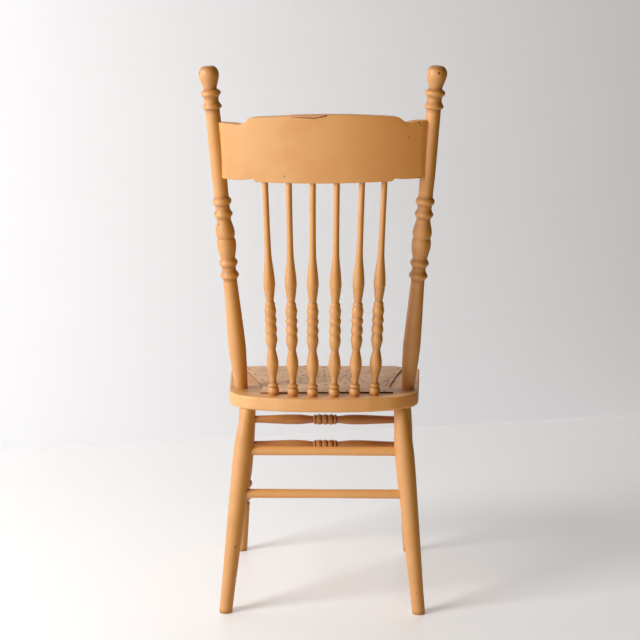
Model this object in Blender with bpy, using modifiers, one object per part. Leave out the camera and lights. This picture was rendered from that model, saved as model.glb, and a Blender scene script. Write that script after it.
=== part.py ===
"""Spindle back dining chair in painted hardwood, every piece its own closed solid.

Metres, +Z up. The sitter faces -Y, so the back of the chair is at +Y and the sitter's left at +X.
Heights are measured from the floor. While the pieces are laid out, Y is zero at the middle of the
seat's rear edge; the last step moves the whole chair so that its box is centred over the origin.
"""
import math

import bpy
import bmesh
from mathutils import Matrix, Vector

# Fits and facets
FIT_GAP = 0.0003
CUT_OVERRUN = 0.010
WELD_DISTANCE = 0.00001
POST_SIDES = 10
LEG_SIDES = 10
SPINDLE_SIDES = 8
STRETCHER_SIDES = 8
TACK_SIDES = 5
HOLE_SIDES = 6
BEAD_STEPS = 3
ARC_STEPS = 5
SHARP_ANGLE = math.radians(40.0)

# Seat frame
SEAT_HEIGHT = 0.445
SEAT_THICKNESS = 0.028
SEAT_DEPTH = 0.429
SEAT_REAR_WIDTH = 0.385
SEAT_FRONT_WIDTH = 0.441
SEAT_REAR_EDGE_RADIUS = 0.500
SEAT_FRONT_EDGE_RADIUS = 1.200
SEAT_REAR_CORNER_RADIUS = 0.095
SEAT_FRONT_CORNER_RADIUS = 0.030
SEAT_ROUNDING = 0.004
OPENING_REAR_WIDTH = 0.224
OPENING_FRONT_WIDTH = 0.300
OPENING_SETBACK = 0.0995
FRONT_RAIL_DEPTH = 0.0695
OPENING_DEPTH = SEAT_DEPTH - OPENING_SETBACK - FRONT_RAIL_DEPTH
OPENING_CORNER_RADIUS = 0.035

# Perforated seat panel and the tacks that hold it
PANEL_THICKNESS = 0.003
PANEL_WIDTH = 0.364
PANEL_SETBACK = 0.0635
PANEL_FRONT_MARGIN = 0.0255
PANEL_DEPTH = SEAT_DEPTH - PANEL_SETBACK - PANEL_FRONT_MARGIN
PANEL_TURN = math.radians(1.9)
PATTERN_FRONT_MARGIN = 0.022
PATTERN_SIDE_MARGIN = 0.067
PATTERN_RADIUS = PANEL_WIDTH / 2 - PATTERN_SIDE_MARGIN
PATTERN_SETBACK = PANEL_SETBACK + PANEL_DEPTH - PATTERN_FRONT_MARGIN - PATTERN_RADIUS
PATTERN_ARMS = 8
SLOT_LENGTH = 0.009
SLOT_WIDTH = 0.006
DOT_DIAMETER = 0.0055
TACK_COUNT = 16
TACK_INSET = 0.009
TACK_HEAD_DIAMETER = 0.007
TACK_HEAD_HEIGHT = 0.0016
TACK_SHANK_DIAMETER = 0.0026
TACK_REACH = 0.0055

# Back posts
POST_LENGTH = 0.668
POST_RADIUS = 0.0197
POST_BASE_SPREAD = 0.3496
POST_SETBACK = 0.125
POST_LEAN = math.radians(12.0)
POST_SPLAY = math.radians(4.0)
BACK_SHIFT = -0.0012
BACK_RACK = 0.005
POST_TENON_DIAMETER = 0.018
POST_TENON_DEPTH = 0.018

# Crest rail, bent in plan and leaning with the posts
CREST_ABOVE_SEAT = 0.485
CREST_HEIGHT = SEAT_HEIGHT + CREST_ABOVE_SEAT
CREST_TILT = math.radians(0.4)
CREST_RISE = 0.085
CREST_DROP = 0.0464
CREST_SLIP = -0.0015
CREST_BOW = 0.0507
CREST_THICKNESS = 0.020
CREST_END_SETBACK = 0.026
CREST_END_RUN = 0.0138
CREST_END_RADIUS = 0.020
CREST_END_INSET = 0.003
CREST_SHOULDER_X = 0.164
CREST_TENON_THICKNESS = 0.009
CREST_TENON_TOP = 0.052
CREST_TENON_BOTTOM = 0.034
CREST_TENON_REACH = 0.007
CREST_STEPS = 10
PIN_HEAD_SHARE = 0.71
PIN_UPPER_OFFSET = 0.046
PIN_LOWER_OFFSET = 0.029
PIN_DIAMETER = 0.0024
PIN_LENGTH = 0.022

# Spindles
SPINDLE_COUNT = 6
SPINDLE_RADIUS = 0.0125
SPINDLE_SEAT_PITCH = 0.041
SPINDLE_CREST_PITCH = 0.047
SPINDLE_SEAT_DRIFTS = (-0.0013, 0.0, 0.0013, -0.0013, -0.0016, -0.0008)
SPINDLE_CREST_DRIFTS = (-0.0042, -0.0040, -0.0038, -0.0034, -0.0054, -0.0022)
SPINDLE_SETBACK = 0.0285
SPINDLE_ROW_RADIUS = 0.310
SPINDLE_TENON_DIAMETER = 0.011
SPINDLE_TENON_DEPTH = 0.016
SPINDLE_TOP_TENON = 0.020

# Legs
LEG_RADIUS = 0.0197
LEG_TENON_DIAMETER = 0.020
LEG_TENON_DEPTH = 0.018
REAR_LEG_TOP_SPREAD = 0.3116
REAR_LEG_TOP_SHIFT = -0.0012
REAR_LEG_TOP_SETBACK = 0.0525
REAR_FOOT_SPREAD = 0.3952
REAR_FOOT_SHIFT = 0.0018
REAR_FOOT_RAKE = 0.044
FRONT_LEG_SIDE_INSET = 0.0425
FRONT_LEG_TOP_SPREAD = SEAT_FRONT_WIDTH - 2 * FRONT_LEG_SIDE_INSET
FRONT_LEG_TOP_INSET = 0.0545
FRONT_LEG_SPLAY_RUN = 0.022
FRONT_FOOT_SPREAD = FRONT_LEG_TOP_SPREAD + 2 * FRONT_LEG_SPLAY_RUN
FRONT_FOOT_RAKE = 0.037

# Stretchers
STRETCHER_TIP_GAP = 0.004
PLAIN_STRETCHER_RADIUS = 0.0093
TURNED_STRETCHER_RADIUS = 0.0122
REAR_STRETCHER_HEIGHTS = {"upper": 0.3294, "lower": 0.2424}
FRONT_STRETCHER_HEIGHTS = {"upper": 0.325, "lower": 0.263}
SIDE_STRETCHER_HEIGHTS = {"upper": 0.295, "lower": 0.205}

# Turned profiles, top to bottom, as shares of the piece's length and of its largest radius.
# A row of pairs is a run of points; four plain numbers are a bead: start, end, base and peak.
POST_SHARES = (
    ((1.000, 0.55), (0.9978, 0.78), (0.990, 0.925), (0.9735, 1.007), (0.9645, 0.96), (0.956, 0.875),
     (0.9475, 0.79), (0.939, 0.733)),
    ((0.9345, 0.80), (0.9295, 0.925), (0.9230, 0.99), (0.9175, 0.93), (0.9125, 0.79)),
    ((0.9035, 0.712), (0.8985, 0.745), (0.8920, 0.905), (0.8860, 0.96), (0.8800, 0.87),
     (0.8735, 0.75)),
    ((0.866, 0.73), (0.756, 0.755), (0.666, 0.775), (0.6419, 0.738), (0.6298, 0.744)),
    ((0.6206, 0.751), (0.6130, 0.85), (0.6040, 0.94), (0.5970, 0.885), (0.5905, 0.75)),
    ((0.5825, 0.700), (0.5775, 0.735), (0.5710, 0.86), (0.5640, 0.915), (0.5575, 0.85),
     (0.5505, 0.73)),
    ((0.5445, 0.71), (0.5379, 0.755), (0.5286, 0.849), (0.5180, 0.93), (0.5069, 0.98),
     (0.4965, 0.938), (0.4882, 0.885)),
    ((0.4800, 0.955), (0.4680, 0.985), (0.4570, 0.960), (0.4430, 0.865), (0.4340, 0.805)),
    ((0.4287, 0.755), (0.4215, 0.85), (0.4115, 0.945), (0.4045, 0.90), (0.3975, 0.76)),
    ((0.3907, 0.725), (0.3860, 0.755), (0.3800, 0.88), (0.3730, 0.94), (0.3655, 0.90),
     (0.3585, 0.75)),
    ((0.3525, 0.705), (0.3240, 0.735), (0.285, 0.78), (0.2265, 0.845), (0.187, 0.88),
     (0.1475, 0.917), (0.118, 0.89), (0.077, 0.83), (0.044, 0.75), (0.012, 0.68), (0.000, 0.66)),
)
SPINDLE_SHARES = (
    ((1.000, 0.490), (0.860, 0.480), (0.735, 0.498), (0.675, 0.535), (0.637, 0.625), (0.600, 0.765),
     (0.568, 0.873), (0.540, 0.940), (0.522, 0.940), (0.514, 0.875), (0.485, 0.77), (0.460, 0.645)),
    ((0.4505, 0.610), (0.4435, 0.745), (0.431, 0.785), (0.421, 0.83)),
    ((0.413, 0.905), (0.4045, 0.935), (0.394, 0.87), (0.3865, 0.82)),
    ((0.3765, 0.815), (0.3665, 0.920), (0.361, 0.94), (0.353, 0.88), (0.345, 0.815)),
    ((0.336, 0.81), (0.328, 0.895), (0.318, 0.955), (0.308, 0.925), (0.299, 0.83)),
    ((0.291, 0.825), (0.281, 0.89), (0.270, 0.94), (0.260, 0.90), (0.249, 0.80)),
    ((0.239, 0.74), (0.2295, 0.655), (0.2195, 0.62), (0.205, 0.715), (0.186, 0.855),
     (0.170, 0.935), (0.155, 0.965), (0.143, 0.955), (0.125, 0.865), (0.100, 0.665),
     (0.082, 0.55), (0.069, 0.52)),
    ((0.062, 0.585), (0.053, 0.68), (0.0485, 0.63)),
    ((0.046, 0.67), (0.038, 0.84), (0.026, 0.905), (0.012, 0.81), (0.000, 0.64)),
)
REAR_LEG_SHARES = (
    ((1.00, 0.69), (0.93, 0.775), (0.86, 0.92), (0.80, 0.99), (0.728, 1.01), (0.586, 0.945),
     (0.43, 0.865), (0.258, 0.779), (0.111, 0.70), (0.00, 0.675)),
)
FRONT_LEG_SHARES = (
    ((1.00, 0.777), (0.93, 0.86), (0.86, 0.94), (0.80, 0.985), (0.72, 1.00), (0.62, 0.975),
     (0.50, 0.88), (0.45, 0.79), (0.425, 0.72)),
    (0.42, 0.385, 0.70, 0.93),
    ((0.365, 0.68),),
    (0.348, 0.310, 0.70, 0.91),
    ((0.295, 0.625),),
    (0.291, 0.265, 0.64, 0.76),
    ((0.262, 0.73), (0.123, 0.70), (0.00, 0.655)),
)
# Stretcher profiles run from the middle to one tip, as shares of half the length.
PLAIN_STRETCHER_SHARES = (
    ((0.0, 0.97), (0.5, 1.0), (0.93, 1.0), (1.0, 0.95)),
)
TURNED_STRETCHER_SHARES = (
    ((0.0, 1.0), (0.032, 0.93), (0.045, 0.80)),
    (0.045, 0.134, 0.80, 1.00),
    (0.134, 0.165, 0.72, 0.96),
    ((0.172, 0.68), (0.25, 0.85), (0.32, 0.925), (0.389, 0.943), (0.50, 0.92), (0.65, 0.82),
     (0.80, 0.72), (0.92, 0.68), (1.0, 0.67)),
)
TACK_SHARES = ((1.00, 0.30), (0.75, 0.75), (0.00, 1.00))

# Crest outline on the right half: shares of the post's distance or of the wing's inner corner,
# and of the rise above or the drop below the crest's datum line.
CREST_TOP_SHARES = ((0.00, 1.000), (0.25, 0.992), (0.43, 0.974), (0.64, 0.945), (0.80, 0.919),
                    (0.872, 0.889), (0.896, 0.845), (0.93, 0.795), (0.976, 0.757), (1.00, 0.757))
CREST_END_TOP_SHARE = 0.781
CREST_BOTTOM_SHARES = ((0.00, 0.985), (0.40, 0.985), (0.77, 1.000), (0.80, 0.985), (0.815, 0.92),
                       (0.83, 0.882), (0.86, 0.893), (0.93, 0.930), (1.00, 0.947))
CREST_END_BOTTOM_SHARE = 0.950

# Side of the panel, rear to front: shares of its half width and of its depth.
PANEL_SIDE_SHARES = ((0.748, 0.000), (0.736, 0.080), (0.736, 0.200), (0.764, 0.350), (0.806, 0.465),
                     (0.862, 0.590), (0.919, 0.700), (0.970, 0.810), (0.995, 0.880),
                     (0.990, 0.930), (0.945, 0.980), (0.870, 1.000))

# Perforation: share of the pattern's radius for each ring of slots on the arms and of dots between.
SLOT_RING_SHARES = (0.16, 0.41, 0.65, 1.00)
DOT_RING_SHARES = (0.38, 0.53, 0.72, 0.95)
SIDE_DOT_RING_SHARES = (0.53, 0.82)
SIDE_DOT_TURN_SHARE = 0.45

# Paint, sRGB-like linear colour with roughness; the steel is bare.
PAINT_COLOUR = (0.70, 0.40, 0.17, 1.0)
PANEL_COLOUR = (0.66, 0.41, 0.22, 1.0)
STEEL_COLOUR = (0.16, 0.12, 0.09, 1.0)
PAINT_ROUGHNESS = 0.42
STEEL_ROUGHNESS = 0.50

SEAT_UNDERSIDE = SEAT_HEIGHT - SEAT_THICKNESS


def clear_scene():
    for thing in list(bpy.data.objects):
        bpy.data.objects.remove(thing, do_unlink=True)


def new_collection(name):
    collection = bpy.data.collections.new(name)
    bpy.context.scene.collection.children.link(collection)
    return collection


clear_scene()
PARTS = new_collection("spindle_back_chair")
CUTTERS = new_collection("cutters")
ROOT = bpy.data.objects.new("chair_root", None)
PARTS.objects.link(ROOT)


def make_material(name, colour, roughness, metallic):
    material = bpy.data.materials.new(name)
    material.use_nodes = True
    shader = material.node_tree.nodes["Principled BSDF"]
    shader.inputs["Base Color"].default_value = colour
    shader.inputs["Roughness"].default_value = roughness
    shader.inputs["Metallic"].default_value = metallic
    return material


def add_object(name, mesh, collection):
    """Put a mesh in the scene under the chair's root; cutters are hidden wire shapes."""
    thing = bpy.data.objects.new(name, mesh)
    collection.objects.link(thing)
    thing.parent = ROOT
    if collection is CUTTERS:
        thing.hide_render = True
        thing.display_type = "WIRE"
    return thing


def finish(thing, colour=PAINT_COLOUR, roughness=PAINT_ROUGHNESS, metallic=0.0):
    """Give a finished piece its own material."""
    thing.data.materials.append(make_material(thing.name + "_surface", colour, roughness, metallic))
    return thing


def boolean(thing, tool, operation="DIFFERENCE"):
    modifier = thing.modifiers.new(operation.lower(), "BOOLEAN")
    modifier.operation = operation
    modifier.solver = "EXACT"
    modifier.object = tool


def cut(thing, tools):
    for tool in tools:
        boolean(thing, tool)


# Profiles

def profile_points(shares, length, radius):
    """Turn a table of shares into (distance, radius) points, with a round arc for each bead."""
    points = []
    widest = math.sin(math.pi * (BEAD_STEPS // 2) / BEAD_STEPS)
    for item in shares:
        if isinstance(item[0], tuple):
            points += [(along * length, out * radius) for along, out in item]
            continue
        start, end, base, peak = item
        for step in range(BEAD_STEPS + 1):
            angle = math.pi * step / BEAD_STEPS
            along = start + (end - start) * (1 - math.cos(angle)) / 2
            out = base + (peak - base) * math.sin(angle) / widest
            points.append((along * length, out * radius))
    return points


def lathe(name, outline, sides, collection):
    """Spin (height, radius) points, given top to bottom, round the local Z axis.

    The facets' corners stand out a little, so that a section has the area of the true circle.
    """
    swell = math.sqrt(math.tau / (sides * math.sin(math.tau / sides)))
    rings = [(outline[0][0], outline[0][1] * swell)]
    for height, radius in outline[1:]:
        if abs(height - rings[-1][0]) + abs(radius * swell - rings[-1][1]) > WELD_DISTANCE:
            rings.append((height, radius * swell))
    top, bottom = rings[0][0], rings[-1][0]
    points = [(0.0, 0.0, top)] + [(r, 0.0, z) for z, r in rings] + [(0.0, 0.0, bottom)]
    mesh = bpy.data.meshes.new(name)
    edges = [(index, index + 1) for index in range(len(points) - 1)]
    mesh.from_pydata(points, edges, [])
    thing = add_object(name, mesh, collection)
    screw = thing.modifiers.new("turning", "SCREW")
    screw.axis = "Z"
    screw.steps = sides
    screw.render_steps = sides
    screw.use_merge_vertices = True
    screw.merge_threshold = WELD_DISTANCE
    screw.use_smooth_shade = True
    return thing


def stand(thing, foot, head):
    """Place a lathe piece with its local origin at foot and its local Z towards head."""
    thing.location = foot
    thing.rotation_mode = "QUATERNION"
    thing.rotation_quaternion = (head - foot).to_track_quat("Z", "Y")
    return thing


def peg(name, foot, head, radius, sides, collection=CUTTERS):
    """A plain round bar from foot to head."""
    length = (head - foot).length
    return stand(lathe(name, [(length, radius), (0.0, radius)], sides, collection), foot, head)


def grown(radius):
    return radius + FIT_GAP


def flat_shape(name, loops, thickness, collection, rounding=0.0):
    """An outline with holes, drawn in XY, as a closed slab centred on local Z zero."""
    curve = bpy.data.curves.new(name, "CURVE")
    curve.dimensions = "2D"
    curve.fill_mode = "BOTH"
    curve.extrude = thickness / 2 - rounding
    if rounding:
        curve.bevel_depth = rounding
        curve.offset = -rounding
        curve.bevel_resolution = 1
    for loop in loops:
        spline = curve.splines.new("POLY")
        spline.points.add(len(loop) - 1)
        for point, (x, y) in zip(spline.points, loop):
            point.co = (x, y, 0.0, 1.0)
        spline.use_cyclic_u = True
    drawn = bpy.data.objects.new(name + "_outline", curve)
    CUTTERS.objects.link(drawn)
    depsgraph = bpy.context.evaluated_depsgraph_get()
    mesh = bpy.data.meshes.new_from_object(drawn.evaluated_get(depsgraph))
    bpy.data.objects.remove(drawn, do_unlink=True)
    mesh.name = name
    work = bmesh.new()
    work.from_mesh(mesh)
    bmesh.ops.remove_doubles(work, verts=work.verts, dist=WELD_DISTANCE)
    bmesh.ops.recalc_face_normals(work, faces=work.faces)
    work.to_mesh(mesh)
    work.free()
    return add_object(name, mesh, collection)


def rounded_outline(corners, steps=ARC_STEPS):
    """Fillet a closed polygon. Each corner is x, y and its radius; zero leaves it sharp."""
    outline = []
    count = len(corners)
    for index, (x, y, radius) in enumerate(corners):
        here = Vector((x, y))
        if radius == 0.0:
            outline.append(here)
            continue
        before = (Vector(corners[index - 1][:2]) - here).normalized()
        after = (Vector(corners[(index + 1) % count][:2]) - here).normalized()
        half = before.angle(after) / 2
        centre = here + (before + after).normalized() * (radius / math.sin(half))
        first = here + before * (radius / math.tan(half)) - centre
        last = here + after * (radius / math.tan(half)) - centre
        turn = first.angle_signed(last)
        for step in range(steps + 1):
            spun = first.copy()
            spun.rotate(Matrix.Rotation(-turn * step / steps, 2))
            outline.append(centre + spun)
    return outline


# Places that several pieces share

def post_point(side, height):
    """Point on a back post's axis at a height; side is +1 at the sitter's left, -1 at the right."""
    up = height - SEAT_HEIGHT
    half = POST_BASE_SPREAD / 2 + up * math.tan(POST_SPLAY)
    x = side * half + BACK_SHIFT + up * BACK_RACK
    return Vector((x, -POST_SETBACK + up * math.tan(POST_LEAN), height))


def leg_ends(row, side):
    """Foot and top of a leg's axis, on the floor and at the seat's underside."""
    if row == "rear":
        top_y = -REAR_LEG_TOP_SETBACK
        top_x = side * REAR_LEG_TOP_SPREAD / 2 + REAR_LEG_TOP_SHIFT
        foot_x = side * REAR_FOOT_SPREAD / 2 + REAR_FOOT_SHIFT
        top = Vector((top_x, top_y, SEAT_UNDERSIDE))
        foot = Vector((foot_x, top_y + REAR_FOOT_RAKE, 0.0))
    else:
        top_y = -SEAT_DEPTH + FRONT_LEG_TOP_INSET
        top = Vector((side * FRONT_LEG_TOP_SPREAD / 2, top_y, SEAT_UNDERSIDE))
        foot = Vector((side * FRONT_FOOT_SPREAD / 2, top_y - FRONT_FOOT_RAKE, 0.0))
    return foot, top


def leg_point(row, side, height):
    foot, top = leg_ends(row, side)
    return foot.lerp(top, height / SEAT_UNDERSIDE)


def arc_depth(x, radius):
    """How far a round arc falls back at a distance x from its middle."""
    return radius - math.sqrt(radius * radius - x * x)


CREST_HALF = (post_point(1, CREST_HEIGHT).x - post_point(-1, CREST_HEIGHT).x) / 2
CREST_RADIUS = (CREST_HALF ** 2 + CREST_BOW ** 2) / (2 * CREST_BOW)
CREST_HALF_ARC = CREST_RADIUS * math.asin(CREST_HALF / CREST_RADIUS)
CREST_MIDDLE = (post_point(1, CREST_HEIGHT) + post_point(-1, CREST_HEIGHT)) / 2
CREST_FRAME = (Matrix.Translation(CREST_MIDDLE) @ Matrix.Rotation(-POST_LEAN, 4, "X")
               @ Matrix.Rotation(CREST_TILT, 4, "Y"))


def crest_point(x, rise):
    """Point on the crest's middle surface: x across, rise up the lean from the datum line."""
    return CREST_FRAME @ Vector((x, CREST_BOW - arc_depth(x, CREST_RADIUS), rise))


def spindle_ends(index):
    """Where a spindle's axis meets the seat's top and the crest's lower edge."""
    place = index - (SPINDLE_COUNT - 1) / 2
    seat_x = -place * SPINDLE_SEAT_PITCH + SPINDLE_SEAT_DRIFTS[index]
    seat_y = -SPINDLE_SETBACK - arc_depth(seat_x, SPINDLE_ROW_RADIUS)
    foot = Vector((seat_x, seat_y, SEAT_HEIGHT))
    crest_x = -place * SPINDLE_CREST_PITCH + SPINDLE_CREST_DRIFTS[index]
    return foot, crest_point(crest_x, -CREST_DROP)


def name_of_side(side):
    return "left" if side > 0 else "right"


# Tenons with shoulders that lie flat on the seat

def tenon_peg(name, joint, along, depth, diameter, sides, extra=0.0):
    """The round tenon of a piece whose axis runs along from joint, depth deep into the seat."""
    start = joint - along * CUT_OVERRUN
    radius = diameter / 2 + extra
    return peg(name, start, joint + along * (depth + extra), radius, sides)


def shoulder_cutter(name, joint, level, upward, core):
    """A flat slab that trims a piece square to the seat, with a hole that leaves its tenon."""
    reach = 2 * POST_RADIUS
    work = bmesh.new()
    bmesh.ops.create_cone(work, cap_ends=True, segments=4, radius1=reach, radius2=reach,
                          depth=reach)
    mesh = bpy.data.meshes.new(name)
    work.to_mesh(mesh)
    work.free()
    slab = add_object(name, mesh, CUTTERS)
    direction = 1 if upward else -1
    slab.location = (joint.x, joint.y, level + direction * reach / 2)
    boolean(slab, core)
    return slab


SEAT_SOCKETS = []


def seat_joint(piece, joint, along, depth, diameter, sides):
    """Cut a piece's shoulder and tenon, and note the socket that the seat frame needs."""
    upward = along.z > 0
    level = joint.z - FIT_GAP if upward else joint.z + FIT_GAP
    core = tenon_peg(piece.name + "_tenon", joint, along, depth + CUT_OVERRUN, diameter, sides)
    cut(piece, [shoulder_cutter(piece.name + "_shoulder", joint, level, upward, core)])
    socket = tenon_peg(piece.name + "_socket", joint, along, depth, diameter, sides, FIT_GAP)
    SEAT_SOCKETS.append(socket)


# Back posts, crest rail and its pins

def post_outline(extra=0.0):
    points = profile_points(POST_SHARES, POST_LENGTH, POST_RADIUS)
    points.append((-POST_TENON_DEPTH, points[-1][1]))
    return [(height, radius + extra) for height, radius in points]


def post_axis(side):
    base = post_point(side, SEAT_HEIGHT)
    return base, post_point(side, CREST_HEIGHT)


def crest_outline():
    """Outline of the rail on its leaning plane, with ends that run along the post axes."""
    lean = math.cos(POST_LEAN)
    slope = math.tan(POST_SPLAY) * lean

    def end_x(rise):
        return CREST_HALF - CREST_END_INSET + rise * slope

    top = [(a * CREST_SHOULDER_X, b * CREST_RISE) for a, b in CREST_TOP_SHARES]
    end_top = CREST_END_TOP_SHARE * CREST_RISE
    bottom = [(a * CREST_SHOULDER_X, -b * CREST_DROP) for a, b in CREST_BOTTOM_SHARES]
    end_bottom = -CREST_END_BOTTOM_SHARE * CREST_DROP
    half = top + [(end_x(end_top), end_top), (end_x(end_bottom), end_bottom)] + bottom[::-1]
    mirrored = [(-x, z) for x, z in half[1:-1]]
    return half + mirrored[::-1]


def tenon_outline(extra):
    """The two crest tenons as one strip through the rail, its tips set by the post axes."""
    slope = math.tan(POST_SPLAY) * math.cos(POST_LEAN)
    top, bottom = CREST_TENON_TOP + extra, -CREST_TENON_BOTTOM - extra
    reach = CREST_HALF + CREST_TENON_REACH + extra
    right = [(reach + top * slope, top), (reach + bottom * slope, bottom)]
    return right + [(-x, z) for x, z in right[::-1]]


def bent_board(name, outline, thickness, collection, extra=0.0, slip=0.0):
    """A board bent to the crest's arc and sawn to an outline, slipped sideways by a little."""
    tip = CREST_HALF_ARC + CREST_TENON_REACH + CUT_OVERRUN
    shoulder = CREST_HALF_ARC - CREST_END_SETBACK
    half = [shoulder * step / CREST_STEPS for step in range(CREST_STEPS)]
    half += [shoulder + CREST_END_RUN * step / BEAD_STEPS for step in range(BEAD_STEPS + 1)]
    half.append(tip)
    outer, inner = [], []
    for along in [-distance for distance in half[:0:-1]] + half:
        run = min(max(abs(along) - shoulder, 0.0), CREST_END_RUN)
        rounded = CREST_THICKNESS - 2 * arc_depth(run, CREST_END_RADIUS)
        thin = min(thickness, max(rounded, CREST_TENON_THICKNESS)) / 2 + extra
        angle = -along / CREST_RADIUS
        for edge, radius in ((outer, CREST_RADIUS + thin), (inner, CREST_RADIUS - thin)):
            edge.append((radius * math.sin(angle),
                         radius * math.cos(angle) - CREST_RADIUS + CREST_BOW))
    tall = 2 * (CREST_RISE + CREST_DROP)
    board = flat_shape(name, [outer + inner[::-1]], tall, collection)
    saw = flat_shape(name + "_saw", [outline], 2 * (CREST_BOW + CREST_THICKNESS), CUTTERS)
    slipped = Matrix.Translation((slip, 0.0, 0.0)) @ Matrix.Rotation(math.pi / 2, 4, "X")
    saw.matrix_local = CREST_FRAME @ slipped
    board.matrix_local = CREST_FRAME
    boolean(board, saw, "INTERSECT")
    return board


def pin_ends(side, rise):
    """A pin driven from the back of a post, square to its axis, through the crest's tenon."""
    height = CREST_HEIGHT + rise * math.cos(POST_LEAN)
    rearward = CREST_FRAME.to_3x3() @ Vector((0.0, 1.0, 0.0))
    head = post_point(side, height) + rearward * (PIN_HEAD_SHARE * POST_RADIUS)
    return head - rearward * PIN_LENGTH, head


def build_back():
    tenon = bent_board("crest_tenon", tenon_outline(0.0), CREST_TENON_THICKNESS, CUTTERS)
    mortise = bent_board("crest_mortise", tenon_outline(FIT_GAP), CREST_TENON_THICKNESS, CUTTERS,
                         FIT_GAP)
    crest = bent_board("crest_rail", crest_outline(), CREST_THICKNESS, PARTS, slip=CREST_SLIP)
    pin_holes = []
    for side in (1, -1):
        label = name_of_side(side)
        base, above = post_axis(side)
        envelope = stand(lathe("post_" + label + "_envelope", post_outline(FIT_GAP), POST_SIDES,
                               CUTTERS), base, above)
        boolean(crest, envelope)
        post = stand(lathe("back_post_" + label, post_outline(), POST_SIDES, PARTS), base, above)
        seat_joint(post, base, (base - above).normalized(), POST_TENON_DEPTH,
                   POST_TENON_DIAMETER, POST_SIDES)
        boolean(post, mortise)
        for level, rise in (("upper", PIN_UPPER_OFFSET), ("lower", -PIN_LOWER_OFFSET)):
            tip, head = pin_ends(side, rise)
            name = "crest_pin_" + label + "_" + level
            pin = peg(name, tip, head, PIN_DIAMETER / 2, TACK_SIDES, PARTS)
            finish(pin, STEEL_COLOUR, STEEL_ROUGHNESS, 1.0)
            outward = (head - tip).normalized()
            hole = peg(name + "_hole", tip - outward * FIT_GAP, head + outward * CUT_OVERRUN,
                       grown(PIN_DIAMETER / 2), TACK_SIDES)
            boolean(post, hole)
            pin_holes.append(hole)
        finish(post)
    boolean(crest, tenon, "UNION")
    cut(crest, pin_holes)
    for index in range(SPINDLE_COUNT):
        foot, top = spindle_ends(index)
        along = (top - foot).normalized()
        radius = grown(SPINDLE_RADIUS * SPINDLE_SHARES[0][0][1])
        cut(crest, [peg("spindle_%d_crest_socket" % (index + 1), top - along * CUT_OVERRUN,
                        top + along * (SPINDLE_TOP_TENON + FIT_GAP), radius, SPINDLE_SIDES)])
    finish(crest)


def build_spindles():
    for index in range(SPINDLE_COUNT):
        foot, top = spindle_ends(index)
        length = (top - foot).length
        points = profile_points(SPINDLE_SHARES, length, SPINDLE_RADIUS)
        points.insert(0, (length + SPINDLE_TOP_TENON, points[0][1]))
        points.append((-SPINDLE_TENON_DEPTH, points[-1][1]))
        spindle = lathe("spindle_%d" % (index + 1), points, SPINDLE_SIDES, PARTS)
        stand(spindle, foot, top)
        seat_joint(spindle, foot, (foot - top).normalized(), SPINDLE_TENON_DEPTH,
                   SPINDLE_TENON_DIAMETER, SPINDLE_SIDES)
        finish(spindle)


# Legs and stretchers

def floor_cutter():
    """Everything under the floor, to saw the feet flat."""
    reach = SEAT_DEPTH + SEAT_FRONT_WIDTH
    work = bmesh.new()
    bmesh.ops.create_cube(work, size=1.0, matrix=Matrix.Diagonal((reach, 2 * reach, reach, 1.0)))
    mesh = bpy.data.meshes.new("floor")
    work.to_mesh(mesh)
    work.free()
    floor = add_object("floor", mesh, CUTTERS)
    floor.location = (0.0, 0.0, -reach / 2)
    return floor


def build_legs(sockets):
    floor = floor_cutter()
    for row, shares in (("rear", REAR_LEG_SHARES), ("front", FRONT_LEG_SHARES)):
        for side in (1, -1):
            foot, top = leg_ends(row, side)
            length = (top - foot).length
            points = profile_points(shares, length, LEG_RADIUS)
            points.insert(0, (length + LEG_TENON_DEPTH, points[0][1]))
            points.append((-CUT_OVERRUN, points[-1][1]))
            leg = lathe(row + "_leg_" + name_of_side(side), points, LEG_SIDES, PARTS)
            stand(leg, foot, top)
            seat_joint(leg, top, (top - foot).normalized(), LEG_TENON_DEPTH,
                       LEG_TENON_DIAMETER, LEG_SIDES)
            boolean(leg, floor)
            cut(leg, sockets[(row, side)])
            finish(leg)


def stretcher_outline(shares, half, radius, extra=0.0):
    """Profile of a stretcher from tip to tip, mirrored about its middle."""
    points = profile_points(shares, half, radius)
    tip_to_middle = [(along, out) for along, out in points[::-1]]
    middle_to_tip = [(-along, out) for along, out in points[1:]]
    outline = [(along + half, out + extra) for along, out in tip_to_middle + middle_to_tip]
    outline[0] = (outline[0][0] + extra, outline[0][1])
    outline[-1] = (outline[-1][0] - extra, outline[-1][1])
    return outline


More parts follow.
